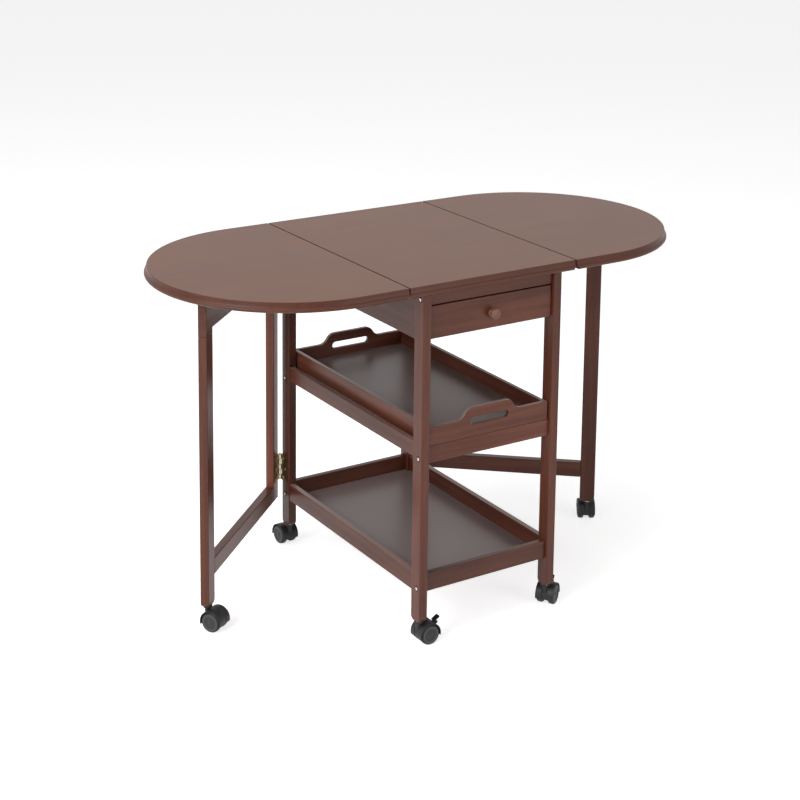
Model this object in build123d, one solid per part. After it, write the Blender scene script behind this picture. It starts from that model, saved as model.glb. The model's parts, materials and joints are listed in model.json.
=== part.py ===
from build123d import *
import os
from math import atan2, cos, degrees, radians, sin

# Rolling folding table: a narrow cart with a drawer, a serving tray and a shelf.
# Two leaves hinge to its top, and each rests on a gate that swings out from a rear post.
# Millimetres. Origin on the floor under the middle, X along the top, -Y to the drawer side, Z up.

# Top
table_height = 705.0
table_length = 1120.0
table_width = 549.0
board_thickness = 19.0
seam_x = 188.5
seam_gap = 3.0

# Moulding round the top: heights over its underside, and how far in from the widest outline
moulding = (
    (0.0, 2.5),
    (2.5, 0.0),
    (5.5, 0.0),
    (8.0, 2.6),
    (12.0, 4.0),
    (18.2, 4.6),
    (board_thickness, 5.4),
)

# Cart frame
frame_length = 315.0
frame_depth = 535.0
post_length = 18.0
post_depth = 29.4
post_bottom = 47.0
post_foot_radius = 9.0
edge_radius = 1.2
rail_thickness = 12.0
rail_inset = 1.4
cross_rail_recess = 7.0
apron_bottom = 596.0
front_rail_bottom = 662.8
middle_side_bottom = 368.5
middle_side_top = 399.0
middle_cross_bottom = 358.5
middle_cross_top = 391.7
shelf_rail_bottom = 105.0
shelf_rail_top = 141.0
shelf_panel_bottom = 105.0
shelf_panel_thickness = 4.0

# Frame screws
screw_levels = (114.0, 370.0, 675.0)
screw_set_back = 11.0
screw_head_radius = 4.6
screw_head_height = 1.0
screw_shank_radius = 2.0
screw_length = 42.0

# Drawer
drawer_gap = 1.2
drawer_bottom = 598.0
drawer_top = 660.5
drawer_front_thickness = 16.0
drawer_half_width = 135.0
drawer_side_thickness = 9.0
drawer_side_bottom = 603.0
drawer_side_top = 650.0
drawer_length = 400.0
drawer_panel_level = 607.0
drawer_panel_thickness = 4.0
groove_depth = 4.0
runner_width = 14.0
runner_bottom = 596.5
runner_play = 0.4
runner_rear_y = 200.0
knob_level = 628.5
knob_length = 17.5
knob_flare = 3.5
knob_head = 6.0
knob_stem_radius = 6.5
knob_head_radius = 10.8
knob_edge_radius = 2.5

# Tray
tray_half_width = 136.5
tray_half_depth = 261.0
tray_bottom = 392.0
tray_wall_top = 428.5
tray_wall_thickness = 9.0
tray_hump_top = 449.5
tray_hump_flat = 38.0
tray_hump_foot = 74.0
tray_slot_length = 88.0
tray_slot_height = 14.0
tray_slot_level = 422.5
tray_panel_bottom = 395.0
tray_panel_thickness = 5.0
tray_tongue_thickness = 3.0
tray_panel_play = 0.2

# Gates, drawn closed against the cart and then opened by these angles
left_gate_angle = 47.0
right_gate_angle = 49.5
gate_axis_x = 161.0
gate_axis_y = 271.0
gate_reach = 413.0
gate_thickness = 17.5
gate_face = 3.5
gate_near_edge = 2.0
gate_upright_width = 28.5
gate_leg_width = 32.0
gate_top = 682.0
gate_bearer_top = 685.7
gate_rail_bottom = 595.0
gate_joint_level = 583.0
gate_stretcher_bottom = 102.5
gate_stretcher_top = 135.5
gate_leg_foot_radius = 8.0

# Hinges
gate_hinge_levels = (171.0, 583.0)
gate_hinge_length = 57.0
gate_hinge_plate = 24.0
leaf_hinge_offset = 200.0
leaf_hinge_length = 50.0
leaf_hinge_plate = 26.0
leaf_hinge_radius = 3.0
hinge_plate_thickness = 1.5
hinge_sections = 5
hinge_section_gap = 0.3
hinge_pin_radius = 1.4
hinge_pin_play = 0.05
hinge_clearance = 0.5
recess_play = 0.2

# Casters, drawn with the wheels behind the stem along +X
wheel_radius = 20.0
wheel_width = 12.5
wheel_side_gap = 6.0
wheel_rim_radius = 1.5
wheel_hub_radius = 12.0
wheel_hub_recess = 1.5
axle_radius = 3.0
axle_play = 0.05
caster_trail = 16.0
web_half_width = 5.5
web_radius = 22.0
hood_inner_radius = 21.2
hood_outer_radius = 23.7
hood_half_width = 18.5
hood_width = 13.0
hood_start_angle = 30.0
hood_end_angle = 172.0
web_lower_radius = 15.0
hub_radius = 5.7
hub_cap_radius = 9.0
hub_cap_bottom = 42.8
hub_bottom = 26.0
hub_top = 45.2
stem_radius = 4.0
stem_play = 0.05
stem_bottom = 30.0
stem_top = 78.0
collar_radius = 7.0
collar_top = 46.7
lever_angle = 38.0
lever_pivot_radius = 26.4
lever_barrel_radius = 2.2
lever_half_width = 9.5
lever_pad_length = 17.0
lever_pad_thickness = 2.6
lever_pad_rise = 30.0
lever_pin_radius = 1.2
lever_lug_radius = 2.7
lever_lug_width = 2.5
lever_lug_gap = 0.4
lug_half_angle = 5.0
lever_tip_radius = 5.0
front_left_heading = 0.0
front_right_heading = 34.0
rear_left_heading = 95.0
rear_right_heading = 20.0
gate_left_heading = -59.0
gate_right_heading = 58.0
braked_casters = ("front_left", "front_right")

# Derived places
board_bottom = table_height - board_thickness
half_length = table_length / 2
half_width = table_width / 2
half_frame = frame_length / 2
half_depth = frame_depth / 2
post_inner_x = half_frame - post_length
post_inner_y = half_depth - post_depth
side_rail_x = half_frame - rail_inset
side_rail_inner_x = side_rail_x - rail_thickness
cross_rail_y = half_depth - cross_rail_recess
cross_rail_inner_y = cross_rail_y - rail_thickness
centre_edge_x = seam_x - seam_gap / 2
leaf_edge_x = seam_x + seam_gap / 2

stand = (Align.CENTER, Align.CENTER, Align.MIN)

parts = {}


def block(x_span, y_span, z_span):
    """Box between two planes along each axis, whichever order they come in."""
    spans = [sorted(span) for span in (x_span, y_span, z_span)]
    centre = [(low + high) / 2 for low, high in spans]
    size = [high - low for low, high in spans]
    return Pos(*centre) * Box(*size)


def rod(start, direction, radius, length):
    """Cylinder from a start point along a direction."""
    return Plane(origin=start, z_dir=direction) * Cylinder(radius, length, align=stand)


def softened(solid, axis, radius=edge_radius):
    """Member with its long edges, those parallel to an axis, rounded."""
    return fillet(solid.edges().filter_by(axis), radius)


def keep(name, *solids):
    """Set aside the solids of one named piece."""
    parts[name] = list(solids)


# Boards of the top


def moulded_board(outline):
    """Board with a bead round its lower edge and a cove over it, from its widest outline."""
    board = Part()
    for (low, low_inset), (high, high_inset) in zip(moulding, moulding[1:]):
        layer = offset(outline, -low_inset, kind=Kind.INTERSECTION) if low_inset else outline
        slope = degrees(atan2(high_inset - low_inset, high - low))
        board += extrude(Pos(0, 0, board_bottom + low) * layer, high - low, taper=slope)
    return board


def leaf_outline():
    """Outline of a leaf drawn past its seam: two straight sides and a half circle."""
    arc_x = half_length - half_width
    sides = Polyline((arc_x, half_width), (0, half_width), (0, -half_width), (arc_x, -half_width))
    end = ThreePointArc((arc_x, -half_width), (half_length, 0), (arc_x, half_width))
    return make_face(sides + end)


def hinge_sections_of(length, own):
    """Start and height of every knuckle section of one half of a hinge."""
    pitch = length / hinge_sections
    first = 0 if own == "fixed" else 1
    return [(-length / 2 + index * pitch, pitch) for index in range(first, hinge_sections, 2)]


def hinge_half(length, radius, plate_width, plate_level, own):
    """One half of a butt hinge along Z: a plate towards +X and its own knuckle sections.

    The fixed half also holds the pin.
    """
    other = "moving" if own == "fixed" else "fixed"
    plate = block(
        (0, plate_width),
        (plate_level, plate_level + hinge_plate_thickness),
        (-length / 2, length / 2),
    )
    for start, height in hinge_sections_of(length, other):
        low = start - hinge_section_gap
        plate -= rod((0, 0, low), (0, 0, 1), radius + hinge_clearance, height + 2 * hinge_section_gap)
    half = plate
    for start, height in hinge_sections_of(length, own):
        half += rod((0, 0, start), (0, 0, 1), radius, height)
    if own == "fixed":
        return half + rod((0, 0, -length / 2), (0, 0, 1), hinge_pin_radius, length)
    return half - rod((0, 0, -length / 2), (0, 0, 1), hinge_pin_radius + hinge_pin_play, length)


def leaf_hinge_halves(side, own):
    """Fixed or moving halves of a leaf's two hinges, let in flush under the boards."""
    direction = side if own == "moving" else -side
    half = hinge_half(leaf_hinge_length, leaf_hinge_radius, leaf_hinge_plate, 0.0, own)
    return [
        Plane(
            origin=(side * seam_x, y, board_bottom),
            x_dir=(direction, 0, 0),
            z_dir=(0, -direction, 0),
        )
        * half
        for y in (-leaf_hinge_offset, leaf_hinge_offset)
    ]


def with_hinge_recesses(board, side):
    """Board with the room for the plates and knuckles of one seam's hinges cut away."""
    reach = leaf_hinge_plate + recess_play
    half = leaf_hinge_length / 2 + recess_play
    knuckle_room = leaf_hinge_radius + hinge_clearance
    for y in (-leaf_hinge_offset, leaf_hinge_offset):
        board -= block(
            (side * seam_x - reach, side * seam_x + reach),
            (y - half, y + half),
            (board_bottom, board_bottom + hinge_plate_thickness),
        )
        board -= rod((side * seam_x, y - half, board_bottom), (0, 1, 0), knuckle_room, 2 * half)
    return board


def centre_board():
    """Middle board of the top, with straight moulded long-side ends at front and rear."""
    outline = Rectangle(table_length, table_width)
    board = moulded_board(outline)
    board &= block((-centre_edge_x, centre_edge_x), (-half_width, half_width), (0, table_height))
    for side in (-1, 1):
        board = with_hinge_recesses(board, side)
    return board


def leaf_board(side):
    """Leaf with a half-round end, drawn for the right side and mirrored for the left."""
    board = moulded_board(leaf_outline())
    board &= block((leaf_edge_x, half_length), (-half_width, half_width), (0, table_height))
    board = with_hinge_recesses(board, 1)
    return board if side > 0 else mirror(board, about=Plane.YZ)


keep("top_centre_board", centre_board())
keep("top_hinge_fixed_halves", *(half for side in (-1, 1) for half in leaf_hinge_halves(side, "fixed")))
for side, word in ((-1, "left"), (1, "right")):
    keep(f"leaf_{word}_board", leaf_board(side))
    keep(f"leaf_{word}_hinge_halves", *leaf_hinge_halves(side, "moving"))


# Cart frame


def frame_screw(side, end, level):
    """Screw with a round cup head on a post's outer side, driven along X into the rail."""
    start = (side * half_frame, end * (half_depth - screw_set_back), level)
    head = rod(start, (side, 0, 0), screw_head_radius, screw_head_height)
    shank = rod(start, (-side, 0, 0), screw_shank_radius, screw_length)
    return head + shank


def without(solid, cutters):
    """Solid with every cutter taken out of it."""
    for cutter in cutters:
        solid -= cutter
    return solid


screws = [
    frame_screw(side, end, level) for side in (-1, 1) for end in (-1, 1) for level in screw_levels
]


def stem_bore(x, y):
    """Bore up into a leg's foot that a caster's stem turns in."""
    return rod((x, y, post_bottom - 1), (0, 0, 1), stem_radius + stem_play, stem_top + 2 - post_bottom)


def post_foot(side, end):
    """Middle of a post's section."""
    return side * (half_frame - post_length / 2), end * (half_depth - post_depth / 2)


def post(side, end):
    """Corner post with rounded edges and rounded lower corners on its wide faces."""
    solid = block(
        (side * post_inner_x, side * half_frame),
        (end * post_inner_y, end * half_depth),
        (post_bottom, board_bottom),
    )
    low_edges = solid.edges().filter_by(Axis.X).group_by(Axis.Z)[0]
    solid = softened(fillet(low_edges, post_foot_radius), Axis.Z)
    return without(solid - stem_bore(*post_foot(side, end)), screws)


def side_rail(side, bottom, top):
    """Rail or apron between the two posts of one side, set in a little from their face."""
    rail = block(
        (side * side_rail_inner_x, side * side_rail_x), (-post_inner_y, post_inner_y), (bottom, top)
    )
    return softened(rail, Axis.Y)


def cross_rail(end, bottom, top, thickness=rail_thickness):
    """Rail between the two posts of one end, with the screws' shanks taken out."""
    y_span = (end * (cross_rail_y - thickness), end * cross_rail_y)
    rail = block((-post_inner_x, post_inner_x), y_span, (bottom, top))
    return without(softened(rail, Axis.X), screws)


for side, word in ((-1, "left"), (1, "right")):
    for end, place in ((-1, "front"), (1, "rear")):
        keep(f"post_{place}_{word}", post(side, end))
    keep(f"side_apron_{word}", side_rail(side, apron_bottom, board_bottom))
    keep(f"tray_side_rail_{word}", side_rail(side, middle_side_bottom, middle_side_top))
    keep(f"shelf_side_rail_{word}", side_rail(side, shelf_rail_bottom, shelf_rail_top))

keep("rear_apron", cross_rail(1, apron_bottom, board_bottom))
keep("front_top_rail", cross_rail(-1, front_rail_bottom, board_bottom, drawer_front_thickness))
keep("tray_cross_rails", *(cross_rail(end, middle_cross_bottom, middle_cross_top) for end in (-1, 1)))
keep("shelf_cross_rails", *(cross_rail(end, shelf_rail_bottom, shelf_rail_top) for end in (-1, 1)))
keep("frame_screws", *screws)


def shelf_panel():
    """Bottom shelf, let in between the rails and notched round the posts."""
    panel = block(
        (-side_rail_inner_x, side_rail_inner_x),
        (-cross_rail_inner_y, cross_rail_inner_y),
        (shelf_panel_bottom, shelf_panel_bottom + shelf_panel_thickness),
    )
    for side in (-1, 1):
        for end in (-1, 1):
            panel -= block(
                (side * post_inner_x, side * half_frame),
                (end * post_inner_y, end * half_depth),
                (0, table_height),
            )
    return panel


keep("shelf_panel", shelf_panel())


def drawer_runners():
    """Strips on the side aprons that carry the drawer's sides and keep them from tipping."""
    strips = []
    inner_x = side_rail_inner_x - runner_width
    for side in (-1, 1):
        for z_span in (
            (runner_bottom, drawer_side_bottom - runner_play),
            (drawer_side_top + runner_play, board_bottom),
        ):
            strips.append(
                block(
                    (side * inner_x, side * side_rail_inner_x), (-post_inner_y, runner_rear_y), z_span
                )
            )
    return strips


keep("drawer_runners", *drawer_runners())


# Drawer

drawer_box_front = -cross_rail_y + drawer_front_thickness
drawer_box_rear = drawer_box_front + drawer_length
drawer_inner_x = drawer_half_width - drawer_side_thickness
drawer_panel = block(
    (-drawer_inner_x - groove_depth, drawer_inner_x + groove_depth),
    (drawer_box_front - groove_depth, drawer_box_rear - drawer_side_thickness + groove_depth),
    (drawer_panel_level, drawer_panel_level + drawer_panel_thickness),
)


def drawer_front():
    """Drawer front between the posts, its face level with the rails."""
    half = post_inner_x - drawer_gap
    front = block((-half, half), (-cross_rail_y, drawer_box_front), (drawer_bottom, drawer_top))
    return softened(front, Axis.X) - drawer_panel


def drawer_box():
    """The drawer's two sides and its back, grooved for the bottom panel."""
    z_span = (drawer_side_bottom, drawer_side_top)
    sides = [
        block(
            (side * drawer_inner_x, side * drawer_half_width), (drawer_box_front, drawer_box_rear), z_span
        )
        for side in (-1, 1)
    ]
    back = block(
        (-drawer_inner_x, drawer_inner_x),
        (drawer_box_rear - drawer_side_thickness, drawer_box_rear),
        z_span,
    )
    return [member - drawer_panel for member in (*sides, back)]


def drawer_knob():
    """Turned wooden knob: a stem that flares into a flat round head."""
    stem = knob_length - knob_flare - knob_head
    turned = Cylinder(knob_stem_radius, stem, align=stand)
    turned += Pos(0, 0, stem) * Cone(knob_stem_radius, knob_head_radius, knob_flare, align=stand)
    turned += Pos(0, 0, stem + knob_flare) * Cylinder(knob_head_radius, knob_head, align=stand)
    turned = fillet(turned.edges().group_by(Axis.Z)[-1], knob_edge_radius)
    return Plane(origin=(0, -cross_rail_y, knob_level), z_dir=(0, -1, 0)) * turned


keep("drawer_front", drawer_front())
keep("drawer_box", *drawer_box())
keep("drawer_bottom", drawer_panel)
keep("drawer_knob", drawer_knob())


# Tray

tray_inner_x = tray_half_width - tray_wall_thickness
tray_inner_y = tray_half_depth - tray_wall_thickness
tray_tongue = block(
    (-tray_inner_x - groove_depth, tray_inner_x + groove_depth),
    (-tray_inner_y - groove_depth, tray_inner_y + groove_depth),
    (tray_panel_bottom, tray_panel_bottom + tray_tongue_thickness),
)


def tray_panel():
    """Bottom panel: its floor lies between the walls, over a thinner tongue let into them."""
    half_x = tray_inner_x - tray_panel_play
    half_y = tray_inner_y - tray_panel_play
    z_span = (tray_panel_bottom, tray_panel_bottom + tray_panel_thickness)
    return tray_tongue + block((-half_x, half_x), (-half_y, half_y), z_span)


def tray_end_face():
    """Outline of a tray end in its own plane: a hump between two S-curves, and a hand slot."""
    rise = tray_hump_top - tray_wall_top
    run = tray_hump_foot - tray_hump_flat
    bend_radius = (run**2 + rise**2) / (4 * rise)
    bend = 2 * degrees(atan2(rise, run))
    outline = Curve()
    first = JernArc((tray_hump_flat, tray_hump_top), (1, 0), bend_radius, -bend)
    second = JernArc(first @ 1, first % 1, bend_radius, bend)
    outline += [first, second]
    outline += Polyline(
        second @ 1,
        (tray_half_width, tray_wall_top),
        (tray_half_width, tray_bottom),
        (0, tray_bottom),
        (0, tray_hump_top),
        (tray_hump_flat, tray_hump_top),
    )
    half = make_face(outline)
    slot = Pos(0, tray_slot_level) * SlotOverall(tray_slot_length, tray_slot_height)
    return half + mirror(half, about=Plane.YZ) - slot


def tray_end(end):
    """One end of the tray, upright at the front or the rear."""
    outer_plane = Plane(origin=(0, end * tray_half_depth, 0), x_dir=(1, 0, 0), z_dir=(0, -1, 0))
    panel = extrude(outer_plane * tray_end_face(), end * tray_wall_thickness)
    return panel - tray_tongue


def tray_side(side):
    """One long wall of the tray, between its ends."""
    wall = block(
        (side * tray_inner_x, side * tray_half_width),
        (-tray_inner_y, tray_inner_y),
        (tray_bottom, tray_wall_top),
    )
    return softened(wall, Axis.Y) - tray_tongue


keep("tray_end_front", tray_end(-1))
keep("tray_end_rear", tray_end(1))
keep("tray_sides", tray_side(-1), tray_side(1))
keep("tray_bottom", tray_panel())


# Gates


def gate_plane(angle):
    """Frame of the right gate: along it from the hinge, away from the cart, and up."""
    turn = radians(angle)
    return Plane(
        origin=(gate_axis_x, gate_axis_y, 0), x_dir=(sin(turn), -cos(turn), 0), z_dir=(0, 0, 1)
    )


def gate_member(along, z_span):
    """Gate member of full thickness."""
    return block(along, (gate_face, gate_face + gate_thickness), z_span)


def gate_foot():
    """Middle of the gate leg's section, in the gate's frame."""
    return gate_reach - gate_leg_width / 2, gate_face + gate_thickness / 2


def gate_upright():
    """Upright beside the hinges, from the stretcher's underside to the top."""
    along = (gate_near_edge, gate_near_edge + gate_upright_width)
    return softened(gate_member(along, (gate_stretcher_bottom, gate_top)), Axis.Z)


def gate_leg():
    """Outer leg on its caster, with rounded lower corners, up to the top rail's end."""
    leg = gate_member((gate_reach - gate_leg_width, gate_reach), (post_bottom, gate_joint_level))
    low_edges = leg.edges().filter_by(Axis.Y).group_by(Axis.Z)[0]
    leg = softened(fillet(low_edges, gate_leg_foot_radius), Axis.Z)
    return leg - stem_bore(*gate_foot())


def gate_top_rail():
    """Top rail over the leg, cut higher between leg and upright, with a bearer at its end."""
    leg_edge = gate_reach - gate_leg_width
    upright_edge = gate_near_edge + gate_upright_width
    rail = gate_member((upright_edge, gate_reach), (gate_rail_bottom, gate_top))
    rail += gate_member((leg_edge, gate_reach), (gate_joint_level, gate_rail_bottom))
    rail += gate_member((leg_edge, gate_reach), (gate_top, gate_bearer_top))
    return rail


def gate_stretcher():
    """Lower rail between upright and leg."""
    along = (gate_near_edge + gate_upright_width, gate_reach - gate_leg_width)
    return softened(gate_member(along, (gate_stretcher_bottom, gate_stretcher_top)), Axis.X)


def gate_hinges(own):
    """Fixed or moving halves of a gate's two hinges, in the closed gate's frame."""
    level = -gate_face if own == "fixed" else gate_face - hinge_plate_thickness
    half = hinge_half(gate_hinge_length, gate_face, gate_hinge_plate, level, own)
    return [Pos(0, 0, z) * half for z in gate_hinge_levels]


def on_side(side, plane, solid):
    """Solid moved from its own frame to the right side, and mirrored for the left."""
    placed = plane * solid
    return placed if side > 0 else mirror(placed, about=Plane.YZ)


gate_angles = {-1: left_gate_angle, 1: right_gate_angle}
for side, word in ((-1, "left"), (1, "right")):
    opened = gate_plane(gate_angles[side])
    keep(f"gate_{word}_upright", on_side(side, opened, gate_upright()))
    keep(f"gate_{word}_leg", on_side(side, opened, gate_leg()))
    keep(f"gate_{word}_top_rail", on_side(side, opened, gate_top_rail()))
    keep(f"gate_{word}_stretcher", on_side(side, opened, gate_stretcher()))
    keep(
        f"gate_{word}_hinge_halves",
        *(on_side(side, opened, half) for half in gate_hinges("moving")),
    )
keep(
    "post_hinge_fixed_halves",
    *(on_side(side, gate_plane(0), half) for side in (-1, 1) for half in gate_hinges("fixed")),
)


# Casters

across = (0, 1, 0)


def around_axle(face, half_thickness, y=0.0):
    """Solid from a face drawn round the axle in the wheel's plane."""
    plane = Plane(origin=(caster_trail, y, wheel_radius), x_dir=(1, 0, 0), z_dir=(0, -1, 0))
    return extrude(plane * face, half_thickness, both=True)


def ring_sector(inner, outer, start, end):
    """Face between two radii and two angles from the trailing side."""
    turn = end - start
    near = CenterArc((0, 0), inner, start, turn)
    far = CenterArc((0, 0), outer, start, turn)
    return make_face(near + far + Line(near @ 0, far @ 0) + Line(near @ 1, far @ 1))


def lever_pivot():
    """Axis of the brake lever, in the wheel's plane."""
    turn = radians(lever_angle)
    return (
        caster_trail + lever_pivot_radius * cos(turn),
        wheel_radius + lever_pivot_radius * sin(turn),
    )


def caster_stem():
    """Steel stem with its collar."""
    stem = rod((0, 0, stem_bottom), (0, 0, 1), stem_radius, stem_top - stem_bottom)
    return stem + rod((0, 0, hub_top), (0, 0, 1), collar_radius, collar_top - hub_top)


def with_lever_lugs(housing):
    """Housing with the two bored lugs that carry a brake lever's pin."""
    pivot_x, pivot_z = lever_pivot()
    lug_y = lever_half_width + lever_lug_gap + lever_lug_width / 2
    neck = ring_sector(
        hood_inner_radius, lever_pivot_radius, lever_angle - lug_half_angle, lever_angle + lug_half_angle
    )
    for side in (-1, 1):
        start = (pivot_x, side * lug_y - lever_lug_width / 2, pivot_z)
        housing += around_axle(neck, lever_lug_width / 2, side * lug_y)
        housing += rod(start, across, lever_lug_radius, lever_lug_width)
    reach = lug_y + lever_lug_width
    return housing - rod((pivot_x, -reach, pivot_z), across, lever_pin_radius + axle_play, 2 * reach)


def caster_housing(braked):
    """Moulded housing: a web between the wheels, a hood over each of them, and a hub."""
    housing = around_axle(Circle(web_lower_radius), web_half_width)
    housing += around_axle(
        ring_sector(web_lower_radius / 2, web_radius, hood_start_angle, hood_end_angle), web_half_width
    )
    hood = ring_sector(hood_inner_radius, hood_outer_radius, hood_start_angle, hood_end_angle)
    for side in (-1, 1):
        housing += around_axle(hood, hood_width / 2, side * (hood_half_width - hood_width / 2))
    housing += rod((0, 0, hub_bottom), (0, 0, 1), hub_radius, hub_top - hub_bottom)
    housing += rod((0, 0, hub_cap_bottom), (0, 0, 1), hub_cap_radius, hub_top - hub_cap_bottom)
    if braked:
        housing = with_lever_lugs(housing)
    bore = axle_radius + axle_play
    housing -= rod((caster_trail, -web_half_width, wheel_radius), across, bore, 2 * web_half_width)
    return housing - caster_stem()


def caster_wheels():
    """Two wheels with sunk hubs on one axle."""
    tread = Cylinder(wheel_radius, wheel_width, align=stand)
    tread = fillet(tread.edges(), wheel_rim_radius)
    tread -= Pos(0, 0, wheel_width - wheel_hub_recess) * Cylinder(
        wheel_hub_radius, wheel_hub_recess, align=stand
    )
    pair = rod((caster_trail, -wheel_side_gap, wheel_radius), across, axle_radius, 2 * wheel_side_gap)
    for side in (-1, 1):
        pair += Plane(origin=(caster_trail, side * wheel_side_gap, wheel_radius), z_dir=(0, side, 0)) * tread
    return pair


def caster_brake():
    """Brake lever: a barrel and pin on the housing's lugs, and a foot pad behind them."""
    pivot_x, pivot_z = lever_pivot()
    pad = Box(
        lever_pad_length,
        2 * lever_half_width,
        lever_pad_thickness,
        align=(Align.MIN, Align.CENTER, Align.CENTER),
    )
    pad = fillet(pad.edges().filter_by(Axis.Z).group_by(Axis.X)[-1], lever_tip_radius)
    lever = Pos(pivot_x, 0, pivot_z) * (Rot(0, -lever_pad_rise, 0) * pad)
    lever += rod((pivot_x, -lever_half_width, pivot_z), across, lever_barrel_radius, 2 * lever_half_width)
    pin_end = lever_half_width + lever_lug_gap + lever_lug_width
    lever += rod((pivot_x, -pin_end, pivot_z), across, lever_pin_radius, 2 * pin_end)
    return lever


def gate_foot_place(side):
    """Middle of a gate leg's section, in the table's frame."""
    along, away = gate_foot()
    point = gate_plane(gate_angles[side]).from_local_coords(Vector(along, away, 0))
    return side * point.X, point.Y


caster_places = {
    "front_left": (*post_foot(-1, -1), front_left_heading),
    "rear_left": (*post_foot(-1, 1), rear_left_heading),
    "front_right": (*post_foot(1, -1), front_right_heading),
    "rear_right": (*post_foot(1, 1), rear_right_heading),
    "gate_left": (*gate_foot_place(-1), gate_left_heading),
    "gate_right": (*gate_foot_place(1), gate_right_heading),
}
for name, (x, y, heading) in caster_places.items():
    place = Pos(x, y, 0) * Rot(0, 0, heading)
    braked = name in braked_casters
    keep(f"{name}_caster_housing", place * caster_housing(braked), place * caster_stem())
    keep(f"{name}_caster_wheels", place * caster_wheels())
    if braked:
        keep(f"{name}_caster_brake", place * caster_brake())


os.makedirs("parts", exist_ok=True)
for name, solids in parts.items():
    export_step(Compound(children=solids), f"parts/{name}.step")
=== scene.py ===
"""Rolling folding table: the finishes and the visible surfaces around the fixed CAD frame.

A cart with a drawer, a serving tray and a shelf carries a centre board. Two round-ended leaves rest
on gates that swing out from the rear posts. Everything is in metres, in the frame of the CAD model.
"""

import json
import logging
from dataclasses import dataclass, field, replace
from enum import Enum
from math import cos, radians, sin, tan, tau
from typing import Any, Iterable, Sequence

import bmesh
import bpy
import numpy as np
from mathutils import Matrix, Vector

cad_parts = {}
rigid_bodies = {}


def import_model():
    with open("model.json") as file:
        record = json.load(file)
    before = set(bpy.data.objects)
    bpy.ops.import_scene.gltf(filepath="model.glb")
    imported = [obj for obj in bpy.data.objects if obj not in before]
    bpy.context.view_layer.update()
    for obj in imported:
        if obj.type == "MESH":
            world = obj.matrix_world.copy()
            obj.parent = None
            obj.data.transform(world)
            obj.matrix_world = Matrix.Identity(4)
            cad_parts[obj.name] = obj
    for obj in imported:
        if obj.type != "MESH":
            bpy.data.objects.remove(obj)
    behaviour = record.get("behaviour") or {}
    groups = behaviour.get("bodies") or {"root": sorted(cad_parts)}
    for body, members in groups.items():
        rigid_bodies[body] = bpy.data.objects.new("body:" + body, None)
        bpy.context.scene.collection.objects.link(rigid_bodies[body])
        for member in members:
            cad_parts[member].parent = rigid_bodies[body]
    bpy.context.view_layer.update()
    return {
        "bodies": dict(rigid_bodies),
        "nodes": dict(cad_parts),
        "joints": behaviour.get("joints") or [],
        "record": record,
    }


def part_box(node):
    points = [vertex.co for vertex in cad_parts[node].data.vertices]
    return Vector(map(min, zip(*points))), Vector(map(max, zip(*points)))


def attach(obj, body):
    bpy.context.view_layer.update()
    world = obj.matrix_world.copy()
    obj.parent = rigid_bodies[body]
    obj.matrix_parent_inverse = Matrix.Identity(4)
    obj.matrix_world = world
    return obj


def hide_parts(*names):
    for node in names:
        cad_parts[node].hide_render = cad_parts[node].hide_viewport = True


LOG = logging.getLogger("table")
Array = np.ndarray
Triple = tuple[float, float, float]
MM = 0.001
ORIGIN = (0.0, 0.0, 0.0)

# Axes that turn a flat outline upright: its second coordinate goes up, its thickness along Y.
STANDING = ((1, 0, 0), (0, 0, 1), (0, 1, 0))

# Clean-up of a mesh: closer points are one, shorter edges go, sharper edges in degrees stay sharp.
MERGE_DISTANCE = 0.000005
FLAT_LENGTH = 0.000001
SHARP_ANGLE = 38.0

# Share of an edge's radius, from the top down, that carries a painted highlight.
HIGHLIGHT_SHARE = 0.4


# Named options


class Side(Enum):
    """Side of the table, with its direction along X."""

    LEFT = -1
    RIGHT = 1

    @property
    def word(self) -> str:
        """Return the side as the names of bodies, nodes and joints have it."""
        return self.name.lower()


class Half(Enum):
    """Half of a hinge, with the number of its first knuckle section."""

    FIXED = 0
    MOVING = 1


class CasterPlace(Enum):
    """Where a caster is fitted, as the names of its bodies have it."""

    FRONT_LEFT = "front_left"
    FRONT_RIGHT = "front_right"
    REAR_LEFT = "rear_left"
    REAR_RIGHT = "rear_right"
    GATE_LEFT = "gate_left"
    GATE_RIGHT = "gate_right"


# Shader sockets and materials


class Socket:
    """Output socket whose arithmetic adds Math nodes to its tree."""

    def __init__(self, nodes: "Nodes", output: bpy.types.NodeSocket | None) -> None:
        """Wrap an output socket of a node tree."""
        self.nodes = nodes
        self.output = output

    def _math(self, operation: str, first: Any, second: Any) -> "Socket":
        """Return the result of a Math node on two numbers or sockets."""
        return self.nodes.node("ShaderNodeMath", {"operation": operation}, {0: first, 1: second})

    def __add__(self, other: Any) -> "Socket":
        """Return the sum."""
        return self._math("ADD", self, other)

    __radd__ = __add__

    def __sub__(self, other: Any) -> "Socket":
        """Return the difference."""
        return self._math("SUBTRACT", self, other)

    def __rsub__(self, other: Any) -> "Socket":
        """Return the reflected difference."""
        return self._math("SUBTRACT", other, self)

    def __mul__(self, other: Any) -> "Socket":
        """Return the product."""
        return self._math("MULTIPLY", self, other)

    __rmul__ = __mul__


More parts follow.
